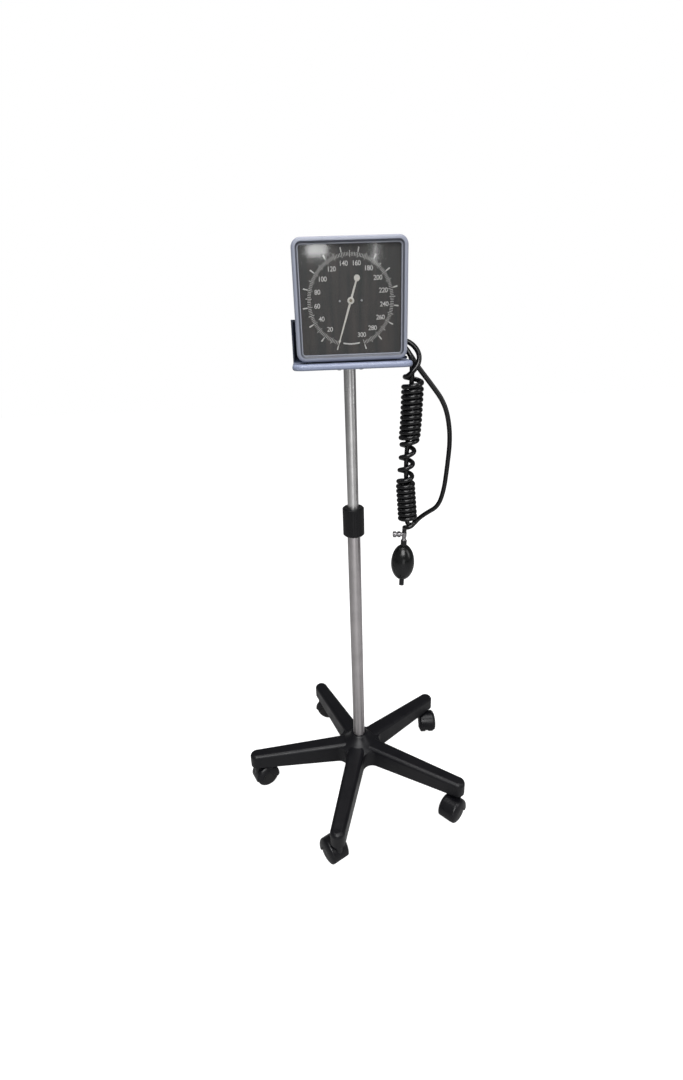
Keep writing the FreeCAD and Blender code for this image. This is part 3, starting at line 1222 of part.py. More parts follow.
os.makedirs("parts", exist_ok=True)
PIECES = {
    "star_base": star_base, "caster_stems": caster_stems, "outer_tube": outer_tube, "tube_plug": tube_plug,
    "base_washer": base_washer, "base_bolt": base_bolt, "collet": collet, "collar": collar,
    "inner_tube": inner_tube, "foot_plug": foot_plug, "guide_bush": guide_bush, "mast_flange": mast_flange,
    "shelf": shelf, "basket": basket, "gauge_brackets": gauge_brackets, "rear_case": rear_case,
    "bezel": bezel, "lens": lens, "lens_gasket": lens_gasket, "dial_plate": dial_plate,
    "dial_screws": dial_screws,
    "movement_back_plate": movement_back_plate, "movement_front_plate": movement_front_plate,
    "movement_pillars": movement_pillars, "pinion_arbor": pinion_arbor, "sector_gear": sector_gear,
    "hairspring": hairspring, "pointer": pointer, "bellows_can": bellows_can, "bellows": bellows,
    "push_rod": push_rod, "pressure_port": pressure_port, "cuff": cuff, "cuff_connector": cuff_connector,
    "valve_body": valve_body, "release_knob": release_knob, "bulb": bulb,
    "bulb_inlet_valve": bulb_inlet_valve, "head_screws": head_screws, "movement_screws": movement_screws,
}
for piece, make in PIECES.items():
    write(piece, make())
for k in range(ARM_COUNT):
    for piece, make in (("hood", caster_hood), ("wheels", caster_wheels), ("axle", caster_axle)):
        write(f"caster_{k + 1}_{piece}", caster_place(make(), k))
write("gauge_hose", hose("gauge hose", GAUGE_HOSE, HOSE_D, HOSE_BORE))
write("coiled_hose", hose("coil", COIL_AXIS, COIL_D, COIL_BORE))
write("cuff_hose", hose("cuff hose", CUFF_HOSE, HOSE_D, HOSE_BORE))
write("bulb_hose", hose("bulb hose", BULB_HOSE, HOSE_D, HOSE_BORE))
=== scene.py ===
"""A mobile aneroid sphygmomanometer: the finishes, dial printing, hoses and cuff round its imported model."""
import math

import bpy
import numpy as np
from mathutils import Matrix, Vector


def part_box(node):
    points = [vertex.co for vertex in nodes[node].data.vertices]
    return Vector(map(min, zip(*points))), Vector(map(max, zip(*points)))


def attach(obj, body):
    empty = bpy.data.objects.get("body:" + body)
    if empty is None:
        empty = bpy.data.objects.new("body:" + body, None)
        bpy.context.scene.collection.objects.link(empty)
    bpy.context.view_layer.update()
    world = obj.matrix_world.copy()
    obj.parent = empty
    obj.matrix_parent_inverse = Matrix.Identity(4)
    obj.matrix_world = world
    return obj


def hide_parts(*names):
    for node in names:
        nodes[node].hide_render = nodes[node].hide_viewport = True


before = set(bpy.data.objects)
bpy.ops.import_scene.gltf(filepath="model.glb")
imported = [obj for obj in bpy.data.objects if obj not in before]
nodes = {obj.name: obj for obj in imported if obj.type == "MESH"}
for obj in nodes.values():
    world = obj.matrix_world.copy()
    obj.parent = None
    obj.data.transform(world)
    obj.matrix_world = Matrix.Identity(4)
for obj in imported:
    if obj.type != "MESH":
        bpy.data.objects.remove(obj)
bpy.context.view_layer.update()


# ---- Camera --------------------------------------------------------------------------------------
# A wide lens a metre in front of the dial and level with it, tipped down so that the whole stand is in view.
CAMERA_AT = Vector((-0.0720, -0.9722, 0.9903))
CAMERA_YAW = math.radians(-2.802)
CAMERA_PITCH = math.radians(-22.187)
CAMERA_ROLL = math.radians(-2.052)
CAMERA_LENS = 18.04        # mm, on a 36 mm high picture

level = Vector((math.cos(CAMERA_YAW), math.sin(CAMERA_YAW), 0))
ahead = Vector((-math.sin(CAMERA_YAW) * math.cos(CAMERA_PITCH),
                math.cos(CAMERA_YAW) * math.cos(CAMERA_PITCH), math.sin(CAMERA_PITCH)))
over = level.cross(ahead)
across = level * math.cos(CAMERA_ROLL) + over * math.sin(CAMERA_ROLL)
upward = over * math.cos(CAMERA_ROLL) - level * math.sin(CAMERA_ROLL)
camera = bpy.data.objects.new("camera", bpy.data.cameras.new("camera"))
bpy.context.scene.collection.objects.link(camera)
camera.matrix_world = Matrix.Translation(CAMERA_AT) @ Matrix((across, upward, -ahead)).transposed().to_4x4()
camera.data.lens = CAMERA_LENS
camera.data.sensor_width = 36
bpy.context.scene.camera = camera


# ---- Hoses ---------------------------------------------------------------------------------------
# Two black rubber hoses from the gauge's two-way port. One is set with heat round a rod into a long curl
# and carries the bulb on its tail. The plain one goes down inside the curl, round under it and up the right
# side to the cuff.
HOSE_D = 0.0085
GAUGE_STRETCH = ((0.02016, -0.020, 0.9536), (0.054, -0.0204, 0.955), (0.088, -0.0208, 0.956),
                 (0.1045, -0.024, 0.9485), (0.1158, -0.028, 0.933), (0.1143, -0.031, 0.9165),
                 (0.104, -0.0345, 0.905), (0.094, -0.033, 0.8968))
VALVE_STRETCH = ((0.1127, -0.028, 0.634), (0.108, -0.035, 0.6293), (0.0985, -0.0356, 0.6252),
                 (0.0936, -0.0275, 0.6238), (0.0952, -0.0203, 0.6195), (0.0949, -0.020, 0.611))
CUFF_ROUTE = ((0.02016, -0.008, 0.9536), (0.050, -0.008, 0.9536), (0.076, -0.0095, 0.9532),
              (0.092, -0.0175, 0.945), (0.1032, -0.027, 0.9275), (0.1046, -0.023, 0.904),
              (0.1044, -0.0206, 0.878), (0.1024, -0.020, 0.838), (0.0994, -0.020, 0.790),
              (0.0966, -0.020, 0.748), (0.0974, -0.020, 0.706), (0.0984, -0.020, 0.672),
              (0.0984, -0.0196, 0.650), (0.0996, -0.016, 0.632), (0.104, -0.010, 0.6215),
              (0.115, -0.0075, 0.6205), (0.1235, -0.007, 0.6315), (0.1385, -0.012, 0.6445),
              (0.1585, -0.0185, 0.6585), (0.168, -0.020, 0.6895), (0.1725, -0.020, 0.7345),
              (0.176, -0.020, 0.784), (0.1706, -0.020, 0.825), (0.1600, -0.020, 0.8535),
              (0.138, -0.020, 0.8825), (0.1140, -0.0185, 0.9123), (0.101, -0.0135, 0.9341),
              (0.089, -0.001, 0.9445), (0.0835, 0.018, 0.9495), (0.0725, 0.0345, 0.951),
              (0.058, 0.040, 0.9515))
CURL_AXIS = ((0.1066, -0.020, 0.8865), (0.1058, -0.020, 0.856), (0.1039, -0.020, 0.806),
             (0.0983, -0.020, 0.756), (0.0952, -0.020, 0.712), (0.0984, -0.020, 0.672),
             (0.101, -0.020, 0.634))
CURL_START = math.radians(-147)      # heading of its first point, from +X
CURL_TURNS = 23.69
# turns, height
CURL_LEVELS = ((0, 0.8985), (0.09, 0.8980), (0.34, 0.8910), (0.59, 0.8850), (0.84, 0.8812), (11.9, 0.7845),
               (12.6, 0.767), (14.6, 0.721), (15.0, 0.7115), (22.84, 0.6415), (CURL_TURNS, 0.634))
# turns, mean radius
CURL_RADII = ((0, 0.0125), (0.25, 0.0140), (0.6, 0.0154), (11.4, 0.0152), (12.4, 0.0112), (14.6, 0.0115),
              (15.4, 0.0136), (CURL_TURNS, 0.0142))
POINTS_PER_TURN = 16
CURL_EASE = 0.3            # turns over which a change of pitch spreads


def hose(name, route, steps, radius):
    """Round tube along one quadratic NURBS spline with the route as its control points."""
    line = bpy.data.curves.new(name, "CURVE")
    line.dimensions = "3D"
    line.bevel_depth = radius
    line.bevel_resolution = 5
    line.use_fill_caps = radius > 0
    line.resolution_u = steps
    spline = line.splines.new("NURBS")
    spline.points.add(len(route) - 1)
    spline.points.foreach_set("co", np.hstack([np.array(route), np.ones((len(route), 1))]).ravel())
    spline.order_u = 3
    spline.use_endpoint_u = True
    piece = bpy.data.objects.new(name, line)
    bpy.context.scene.collection.objects.link(piece)
    return piece


def points_along(route, steps):
    """Points of the route's own smooth spline, in order."""
    line = hose("line", route, steps, 0.0)
    mesh = bpy.data.meshes.new_from_object(line)
    points = np.empty(3 * len(mesh.vertices))
    mesh.vertices.foreach_get("co", points)
    bpy.data.objects.remove(line)
    return points.reshape(-1, 3)


def eased(turns, table):
    """Piecewise linear table of turns and values, averaged over a window of turns so that its corners are
    round."""
    known, values = zip(*table)
    window = np.linspace(-CURL_EASE, CURL_EASE, 9)
    return np.mean([np.interp(turns + shift, known, values) for shift in window], axis=0)


def curl():
    """Right-handed helix: radius and height follow the turns wound, and its middle follows the leaning
    axis."""
    turns = np.arange(1, int(CURL_TURNS * POINTS_PER_TURN)) / POINTS_PER_TURN
    height = eased(turns, CURL_LEVELS)
    radius = eased(turns, CURL_RADII) / math.cos(math.pi / POINTS_PER_TURN)
    angle = CURL_START - 2 * math.pi * turns
    x, y, z = points_along(CURL_AXIS, 8)[::-1].T
    return np.stack([np.interp(height, z, x) + radius * np.cos(angle),
                     np.interp(height, z, y) + radius * np.sin(angle), height], axis=1)


def finish(name, colour, roughness, metallic=0.0, **sockets):
    """New material with constant values on its shader. Returns the material, its node tree and the
    shader."""
    made = bpy.data.materials.new(name)
    made.use_nodes = True
    made.diffuse_color = (*colour, 1)
    tree = made.node_tree
    shader = tree.nodes["Principled BSDF"]
    shader.inputs["Base Color"].default_value = (*colour, 1)
    shader.inputs["Roughness"].default_value = roughness
    shader.inputs["Metallic"].default_value = metallic
    for socket, value in sockets.items():
        shader.inputs[socket.replace("_", " ")].default_value = value
    return made, tree, shader


def put(tree, kind, values=None, **properties):
    """Adds a shader node, with its properties and the values or links of its inputs."""
    made = tree.nodes.new(kind)
    for key, value in properties.items():
        setattr(made, key, value)
    for key, value in (values or {}).items():
        if isinstance(value, bpy.types.NodeSocket):
            tree.links.new(value, made.inputs[key])
        else:
            made.inputs[key].default_value = value
    return made


def spots(tree, scale, detail=2.0, stretch=(1, 1, 1)):
    """Noise in the piece's own metres. scale is in spots per metre, and stretch multiplies it along each
    axis."""
    place = put(tree, "ShaderNodeTexCoord").outputs["Object"]
    place = put(tree, "ShaderNodeMapping", {"Vector": place, "Scale": stretch}).outputs["Vector"]
    noise = put(tree, "ShaderNodeTexNoise", {"Vector": place, "Scale": scale, "Detail": detail})
    return noise.outputs["Fac"]


def between(tree, factor, low, high, start=0.3, end=0.7):
    """Value that goes from low to high as factor goes from start to end."""
    return put(tree, "ShaderNodeMapRange", {"Value": factor, "From Min": start, "From Max": end,
                                            "To Min": low, "To Max": high}).outputs["Result"]


def mottle(tree, shader, factor, first, second, start=0.3, end=0.7):
    """Base colour that goes from first to second as factor goes from start to end."""
    ramp = put(tree, "ShaderNodeValToRGB", {"Fac": factor})
    for element, position, colour in zip(ramp.color_ramp.elements, (start, end), (first, second)):
        element.position = position
        element.color = (*colour, 1)
    tree.links.new(ramp.outputs["Color"], shader.inputs["Base Color"])


def relief(tree, shader, height, depth):
    """Bump of a depth in metres from a height between 0 and 1."""
    bump = put(tree, "ShaderNodeBump", {"Height": height, "Distance": depth, "Strength": 1.0})
    tree.links.new(bump.outputs["Normal"], shader.inputs["Normal"])


def rubber(name, colour, bloom, roughness):
    """Extruded or moulded rubber: a smooth skin with a faint grey bloom and a slight orange peel."""
    made, tree, shader = finish(name, colour, roughness, Specular_IOR_Level=0.42)
    mottle(tree, shader, spots(tree, 55, 3.0), colour, bloom, 0.45, 0.75)
    tree.links.new(between(tree, spots(tree, 130, 2.0), roughness - 0.06, roughness + 0.08),
                   shader.inputs["Roughness"])
    relief(tree, shader, spots(tree, 650, 2.0), 0.00005)
    return made


HOSE_RUBBER = rubber("hose_rubber", (0.0020, 0.0020, 0.0026), (0.0038, 0.0038, 0.0044), 0.21)

curled_hose = hose("gauge_to_bulb_hose", [*GAUGE_STRETCH, *curl(), *VALVE_STRETCH], 4, HOSE_D / 2)
plain_hose = hose("gauge_to_cuff_hose", CUFF_ROUTE, 12, HOSE_D / 2)
for piece in (curled_hose, plain_hose):
    piece.data.materials.append(HOSE_RUBBER)
    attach(piece, "mast")
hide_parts("gauge_hose", "coiled_hose", "bulb_hose")
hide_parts("cuff_hose")


# ---- Star base -----------------------------------------------------------------------------------
# One moulding of black glass-filled nylon with five arms, ribbed underneath. The mould's spark-eroded skin
# gives it a fine even grain, a little shinier in some places than in others.
def moulded(name, colour, second, roughness, grain, depth, gloss=0.5):
    """Textured plastic: an even grain of the given spots per metre and depth, with slow changes of shade
    and gloss."""
    made, tree, shader = finish(name, colour, roughness, Specular_IOR_Level=gloss)
    mottle(tree, shader, spots(tree, 14, 4.0), colour, second, 0.35, 0.7)
    tree.links.new(between(tree, spots(tree, 35, 4.0), roughness - 0.07, roughness + 0.07),
                   shader.inputs["Roughness"])
    relief(tree, shader, spots(tree, grain, 1.0), depth)
    return made


def dress(material, *names):
    """Gives CAD nodes a material."""
    for name in names:
        slots = nodes[name].material_slots
        if slots:
            slots[0].material = material
        else:
            nodes[name].data.materials.append(material)


BASE_NYLON = moulded("base_nylon", (0.0030, 0.0030, 0.0046), (0.0052, 0.0050, 0.0064),
                     0.38, 1500, 0.00005, 0.3)
dress(BASE_NYLON, "star_base")


# ---- Casters -------------------------------------------------------------------------------------
# Twin-wheel swivel casters of black nylon: a hood on a plain steel stem, and two wheels pressed on a steel
# axle. The floor has scuffed the treads dull, and the hoods keep the mould's sheen.
def worked_steel(name, colour, roughness, stretch, depth=0.000008, drawn=0.0):
    """Bare or plated metal with fine lines. stretch squeezes the noise into lines along one axis, and drawn
    spreads the shine across lines that run round the Z axis."""
    made, tree, shader = finish(name, colour, roughness, 1.0, Anisotropic=drawn, Anisotropic_Rotation=0.25)
    lines = spots(tree, 900, 3.0, stretch)
    tree.links.new(between(tree, lines, roughness - 0.06, roughness + 0.09), shader.inputs["Roughness"])
    dim = tuple(0.86 * c for c in colour)
    mottle(tree, shader, spots(tree, 40, 4.0), dim, colour, 0.3, 0.65)
    relief(tree, shader, lines, depth)
    if drawn:
        tree.links.new(put(tree, "ShaderNodeTangent", direction_type="RADIAL", axis="Z").outputs["Tangent"],
                       shader.inputs["Tangent"])
    return made


CASTER_NYLON = moulded("caster_nylon", (0.0030, 0.0030, 0.0044), (0.0056, 0.0054, 0.0068),
                       0.30, 1900, 0.00004, 0.32)
TREAD_NYLON = moulded("tread_nylon", (0.0045, 0.0045, 0.0058), (0.010, 0.0096, 0.0098),
                      0.38, 800, 0.00008, 0.32)
PLAIN_STEEL = worked_steel("plain_steel", (0.52, 0.52, 0.54), 0.34, (1, 1, 0.1))
for number in range(1, 6):
    dress(CASTER_NYLON, f"caster_{number}_hood")
    dress(TREAD_NYLON, f"caster_{number}_wheels")
    dress(PLAIN_STEEL, f"caster_{number}_axle")
dress(PLAIN_STEEL, "caster_stems", "base_bolt", "base_washer")


# ---- Pole ----------------------------------------------------------------------------------------
# Two plated steel tubes, ground round before plating. The upper one slides in the lower one on a white
# bush, and a black collar with a split collet inside clamps it.
UPPER_PLATING = worked_steel("upper_plating", (0.76, 0.755, 0.75), 0.33, (0.02, 0.02, 1), 0.0000003, 0.5)
LOWER_PLATING = worked_steel("lower_plating", (0.56, 0.535, 0.54), 0.36, (0.02, 0.02, 1), 0.0000003, 0.6)
TURNED_ALUMINIUM = worked_steel("turned_aluminium", (0.66, 0.66, 0.67), 0.3, (0.2, 0.2, 1))
BLACK_ACETAL = moulded("black_acetal", (0.0036, 0.0036, 0.0044), (0.006, 0.006, 0.0068),
                       0.34, 1200, 0.00004, 0.32)
WHITE_BUSH = moulded("white_bush", (0.72, 0.71, 0.67), (0.66, 0.65, 0.60), 0.45, 1200, 0.00003)
dress(UPPER_PLATING, "inner_tube")
dress(LOWER_PLATING, "outer_tube")
dress(TURNED_ALUMINIUM, "tube_plug")
dress(BLACK_ACETAL, "collet", "collar", "foot_plug")
dress(WHITE_BUSH, "guide_bush")


# ---- Shelf, basket and brackets ------------------------------------------------------------------
# The shelf is a grey-blue moulding screwed to the pole's steel flange. The dark blue basket sits on it, and
# two bent steel angles hold the gauge to the basket's floor.
SHELF_PLASTIC = moulded("shelf_plastic", (0.215, 0.245, 0.345), (0.235, 0.265, 0.365), 0.36, 1600, 0.00003)
BASKET_PLASTIC = moulded("basket_plastic", (0.008, 0.014, 0.033), (0.011, 0.018, 0.040), 0.42, 1600, 0.00004)
ZINC_PLATE = worked_steel("zinc_plate", (0.58, 0.58, 0.57), 0.38, (1, 1, 1))
dress(SHELF_PLASTIC, "shelf")
dress(BASKET_PLASTIC, "basket")
dress(ZINC_PLATE, "mast_flange", "gauge_brackets", "head_screws", "movement_screws")


# ---- Gauge case ----------------------------------------------------------------------------------
# A grey-blue front frame snapped round a dark rear shell, with a flat acrylic window on a rubber ring
# between them.
GAUGE_MIDDLE = Vector((0, 0, 1.0162))
GAUGE_HALF = 0.0875
GAUGE_CORNER_R = 0.014
# sections: in from the frame's side, and y
# Ring laid in the frame's inner bevel, darker than the frame: painted shade for the bevel's shadowed slope.
BEVEL_PAINTED_SHADE = ((0.0060, -0.0752), (0.0083, -0.0730), (0.0083, -0.0724), (0.0060, -0.0746))
# Ring laid on the window's ledge, paler than the frame: a painted highlight for the ledge's lit edge.
LEDGE_PAINTED_HIGHLIGHT = ((0.0086, -0.0712), (0.0089, -0.0717), (0.0097, -0.0717), (0.0100, -0.0712))
CORNER_STEPS = 8


def on_mast(name, mesh, material):
    """Piece of one mesh and one material that moves with the mast."""
    mesh.materials.append(material)
    piece = bpy.data.objects.new(name, mesh)
    bpy.context.scene.collection.objects.link(piece)
    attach(piece, "mast")
    return piece


def framed(name, section, material):
    """Closed section carried round a square with round corners: each corner is a quarter turn about its own
    middle, at the corner's radius less the section's distance in."""
    turn = (np.arange(4)[:, None] + np.linspace(0, 1, CORNER_STEPS + 1)).ravel() * math.pi / 2
    quarter = np.repeat(np.arange(4), CORNER_STEPS + 1)
    middle = GAUGE_HALF - GAUGE_CORNER_R
    inward, depth = np.array(section).T
    radius = (GAUGE_CORNER_R - inward)[None, :]
    x = middle * np.array([1, -1, -1, 1])[quarter][:, None] + radius * np.cos(turn)[:, None]
    z = middle * np.array([1, 1, -1, -1])[quarter][:, None] + radius * np.sin(turn)[:, None]
    points = np.stack([x, np.broadcast_to(depth, x.shape), z + GAUGE_MIDDLE.z], axis=-1).reshape(-1, 3)
    count = len(section)
    place = np.arange(len(points)).reshape(-1, count)
    after = np.roll(place, -1, axis=0)
    faces = np.stack([place, after, np.roll(after, -1, axis=1), np.roll(place, -1, axis=1)], axis=-1)
    mesh = bpy.data.meshes.new(name)
    mesh.from_pydata(points.tolist(), [], faces.reshape(-1, 4).tolist())
    on_mast(name, mesh, material)


FRAME_PLASTIC = moulded("frame_plastic", (0.205, 0.220, 0.275), (0.222, 0.236, 0.290), 0.34, 1600, 0.00003)
CASE_PLASTIC = moulded("case_plastic", (0.012, 0.015, 0.026), (0.016, 0.019, 0.030), 0.42, 1500, 0.00005)
GASKET_RUBBER = rubber("gasket_rubber", (0.012, 0.012, 0.012), (0.02, 0.02, 0.02), 0.6)
WINDOW = finish("window_acrylic", (0.02, 0.02, 0.022), 0.07, Alpha=0.2, IOR=2.1, Specular_IOR_Level=1.0)[0]
dress(FRAME_PLASTIC, "bezel")
dress(CASE_PLASTIC, "rear_case")
dress(GASKET_RUBBER, "lens_gasket")
dress(WINDOW, "lens")
# Darker copy of the frame plastic, for the ring in the bevel: painted shade.
SHADE_PAINTED_PLASTIC = moulded("bevel_painted_shade_plastic", (0.060, 0.064, 0.080), (0.070, 0.075, 0.092), 0.4, 1600, 0.00003)
# Paler copy of the frame plastic, for the ring on the ledge: painted highlight.
HIGHLIGHT_PAINTED_PLASTIC = moulded("ledge_painted_highlight_plastic", (0.27, 0.28, 0.32), (0.24, 0.25, 0.29), 0.3, 1600, 0.00002)
framed("bezel_painted_shade", BEVEL_PAINTED_SHADE, SHADE_PAINTED_PLASTIC)
framed("window_painted_highlight", LEDGE_PAINTED_HIGHLIGHT, HIGHLIGHT_PAINTED_PLASTIC)


# ---- Dial ----------------------------------------------------------------------------------------
# A square sheet-metal dial in satin near-black paint, with its scale screen-printed in off-white: a mark
# every 2 mmHg from 0 to 300 over 324 degrees, longer ones every 10 and 20, and a number at every 20.
DIAL_FACE_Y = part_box("dial_plate")[0].y
INK_T = 0.00006            # thickness of the printing
SCALE_FROM = 198.0         # degrees clockwise from straight up, at 0 mmHg
DEGREES_PER_MMHG = 1.08
FULL_SCALE = 300
MARK_2 = (0.0617, 0.0670, 0.00058, 0.00066)     # inner and outer radius, and the width at each
MARK_10 = (0.0600, 0.0695, 0.00060, 0.00085)
MARK_20 = (0.0600, 0.0680, 0.00055, 0.00070)
MARK_20_HEAD = (0.0680, 0.0748, 0.0015, 0.0021)
STOP_BAND = (0.0617, 0.0638)                    # inner and outer radius
STOP_HALF_ANGLE = math.radians(12.0)
NUMBER_R = 0.0525
NUMBER_H = 0.0098
NUMBER_BOLD = 0.00006      # strokes spread by this much to each side


def satin_black():
    """Near-black paint laid on in upright strokes, browner in some and greener in others."""
    made, tree, shader = finish("dial_paint", (0.021, 0.020, 0.020), 0.42)
    strokes = spots(tree, 1, 3.0, (110, 1, 9))
    mottle(tree, shader, strokes, (0.010, 0.014, 0.012), (0.048, 0.038, 0.034), 0.35, 0.68)
    relief(tree, shader, spots(tree, 2600, 1.0), 0.00001)
    return made


def ink():
    """Off-white screen printing, a little uneven."""
    made, tree, shader = finish("dial_ink", (0.80, 0.79, 0.76), 0.5)
    mottle(tree, shader, spots(tree, 2500, 2.0), (0.66, 0.65, 0.63), (0.84, 0.83, 0.80), 0.35, 0.6)
    return made


def printed(name, outline, faces):
    """Thin printed shape on the dial: flat quads on (x, z) points, given the ink's thickness."""
    front = DIAL_FACE_Y - INK_T
    points = np.column_stack([outline[:, 0], np.full(len(outline), front), outline[:, 1] + GAUGE_MIDDLE.z])
    back = points + [0, INK_T * 0.9, 0]
    count = len(points)
    after = np.roll(faces, -1, axis=1)
    sides = [np.column_stack([faces[:, k], faces[:, k] + count, after[:, k] + count, after[:, k]])
             for k in range(4)]
    mesh = bpy.data.meshes.new(name)
    mesh.from_pydata(np.vstack([points, back]).tolist(), [],
                     np.vstack([faces[:, ::-1], faces + count, *sides]).tolist())
    on_mast(name, mesh, DIAL_INK)


def marks(name, values, inner, outer, inner_w, outer_w):
    """Radial bars at scale values: four corners each, from the inner to the outer radius, tapering in
    width."""
    angle = np.radians(SCALE_FROM + DEGREES_PER_MMHG * np.asarray(values, float))
    along = np.stack([np.sin(angle), np.cos(angle)], axis=1)
    side = np.stack([np.cos(angle), -np.sin(angle)], axis=1)
    corners = np.stack([along * inner - side * inner_w / 2, along * inner + side * inner_w / 2,
                        along * outer + side * outer_w / 2, along * outer - side * outer_w / 2], axis=1)
    printed(name, corners.reshape(-1, 2), np.arange(4 * len(angle)).reshape(-1, 4))


def arc_band(name, half_angle, inner, outer):
    """Band between two radii, centred straight below the dial's middle."""
    steps = 24
    angle = math.pi + np.linspace(-half_angle, half_angle, steps + 1)
    along = np.stack([np.sin(angle), np.cos(angle)], axis=1)
    ring = np.vstack([along * inner, along * outer])
    step = np.arange(steps)
    printed(name, ring, np.column_stack([step, step + 1, step + steps + 2, step + steps + 1]))


def numeral(value, radius, height):
    """Upright number centred on its scale mark's line."""
    angle = math.radians(SCALE_FROM + DEGREES_PER_MMHG * value)
    text = bpy.data.curves.new(f"number_{value}", "FONT")
    text.body = str(value)
    text.size = height
    text.align_x = "CENTER"
    text.align_y = "CENTER"
    text.space_character = 0.92
    text.extrude = INK_T / 2
    text.offset = NUMBER_BOLD
    text.resolution_u = 4
    drawn = bpy.data.objects.new(f"number_{value}", text)
    bpy.context.scene.collection.objects.link(drawn)
    bpy.context.view_layer.update()
    mesh = bpy.data.meshes.new_from_object(drawn)
    bpy.data.objects.remove(drawn)
    place = Vector((radius * math.sin(angle), DIAL_FACE_Y - INK_T / 2,
                    GAUGE_MIDDLE.z + radius * math.cos(angle)))
    mesh.transform(Matrix.Translation(place) @ Matrix.Rotation(math.pi / 2, 4, "X"))
    mesh.materials.clear()
    on_mast(f"dial_number_{value}", mesh, DIAL_INK)


DIAL_PAINT = satin_black()
DIAL_INK = ink()
dress(DIAL_PAINT, "dial_plate")
twos = [value for value in range(0, FULL_SCALE + 1, 2) if value % 10]
tens = range(10, FULL_SCALE, 20)
twenties = range(0, FULL_SCALE + 1, 20)
marks("dial_marks_2", twos, *MARK_2)
marks("dial_marks_10", tens, *MARK_10)
marks("dial_marks_20", twenties, *MARK_20)
marks("dial_marks_20_heads", twenties, *MARK_20_HEAD)
arc_band("dial_stop_band", STOP_HALF_ANGLE, *STOP_BAND)
for number in twenties[1:]:
    numeral(number, NUMBER_R, NUMBER_H)


# ---- Pointer and movement ------------------------------------------------------------------------
# The pointer is cream enamel on aluminium. Behind the dial are brass plates with a toothed sector and a
# steel pinion, driven by a brass bellows in its can.
ARBOR_END_R = 0.0024       # bare end of the arbor in the hub


def enamel():
    """Cream enamel, with the bare brass end of the arbor in the middle of the hub."""
    made, tree, shader = finish("pointer_enamel", (0.80, 0.78, 0.72), 0.35)
    place = put(tree, "ShaderNodeTexCoord").outputs["Object"]
    scale = 0.5 / ARBOR_END_R
    place = put(tree, "ShaderNodeMapping", {"Vector": place, "Location": (0, 0, -scale * GAUGE_MIDDLE.z),
                                            "Scale": (scale, 0, scale)}).outputs["Vector"]
    from_middle = put(tree, "ShaderNodeVectorMath", {"Vector": place}, operation="LENGTH").outputs["Value"]
    mottle(tree, shader, from_middle, (0.26, 0.23, 0.17), (0.80, 0.78, 0.72), 0.44, 0.56)
    relief(tree, shader, spots(tree, 900, 1.0), 0.00001)
    return made


POINTER_ENAMEL = enamel()
BRASS = worked_steel("brass", (0.72, 0.54, 0.24), 0.3, (1, 1, 0.05))
dress(POINTER_ENAMEL, "pointer")
dress(BRASS, "movement_back_plate", "movement_front_plate", "movement_pillars", "sector_gear", "bellows_can",
      "bellows", "pressure_port")
dress(PLAIN_STEEL, "pinion_arbor", "hairspring", "push_rod", "dial_screws")


# ---- Bulb and release valve ----------------------------------------------------------------------
# The bulb is moulded black rubber, shiny from handling. The valve and its knurled screw are chromed brass.
BULB_RUBBER = rubber("bulb_rubber", (0.0022, 0.0026, 0.0028), (0.005, 0.0055, 0.006), 0.20)
CHROME = worked_steel("worn_chrome", (0.34, 0.33, 0.34), 0.24, (1, 1, 1))
dress(BULB_RUBBER, "bulb")
dress(CHROME, "valve_body", "release_knob", "bulb_inlet_valve")


# ---- Cuff ----------------------------------------------------------------------------------------
# A strip of dark blue coated nylon, sewn double round an air bladder, its edges bound with tape. It is sewn
# flat and puffed by its air, then rolled up from the bladder's tube outwards. A patch of hooks is on the
# outside of its tail.
CUFF_MIDDLE = Vector((-0.01725, 0.044, 0.9605))
CUFF_W = 0.1310            # along the roll
PLY_T = 0.0026             # both plies, pressed flat
PUFF = 0.0012              # most that the air lifts a ply
AIR_PRESSURE = 4
AIR_STEPS = 20             # frames that the air takes to fill it
CLOTH_STEP = 0.0032
ROLL_CORE_R = 0.0065
ROLL_PITCH = 0.0057
ROLL_FROM = math.radians(97.6)      # inner end's heading, from the back of the basket upwards
ROLL_TURN = math.radians(1437.6)
ROLL_SLACK = (0.012, 0.010)         # shares of the radius by which two waves make the turns uneven
ROLL_DRIFT = 0.0012        # sideways wander of the turns
END_SEAM = 0.012           # sewn flat at the strip's inner end
CROSS_SEAM = 0.27          # from the inner end to the bladder's far edge
SEAM_HALF = 0.002          # held to each side of a seam's line, and half of it beside the cross seam
TAIL_L = 0.090             # unpadded end that the hooks are sewn to
HOOKS = (0.070, 0.012, 0.046)       # from and to the tail's end, and half width
HOOK_BACKING_T = 0.0003
HOOK_T = 0.0011
HOOK_BORDER = 0.0012       # over which the patch thins towards its edge
TAPE_W = 0.0085
TAPE_PROUD = 0.0005
TAPE_FOLD = 0.0008         # the fold stands out of the strip's edge
TAPE_END = 0.001           # the long tapes stop this far from the strip's ends
TAIL_TAPE_LIFT = 1.25      # the tail's tape lies over the long tapes
STITCH_L = 0.0022
STITCH_PITCH = 0.0033
STITCH_R = 0.00028
STITCH_FROM = 0.004        # first stitch from the inner end, and last one from the tail's end
STITCH_TO = 0.012
STITCH_IN = 0.0014         # stitches from the tape's inner edge

roll_angles = np.linspace(0, ROLL_TURN, 4000)
roll_lengths = ROLL_CORE_R * roll_angles + ROLL_PITCH * roll_angles ** 2 / (4 * math.pi)
STRIP_L = float(roll_lengths[-1])


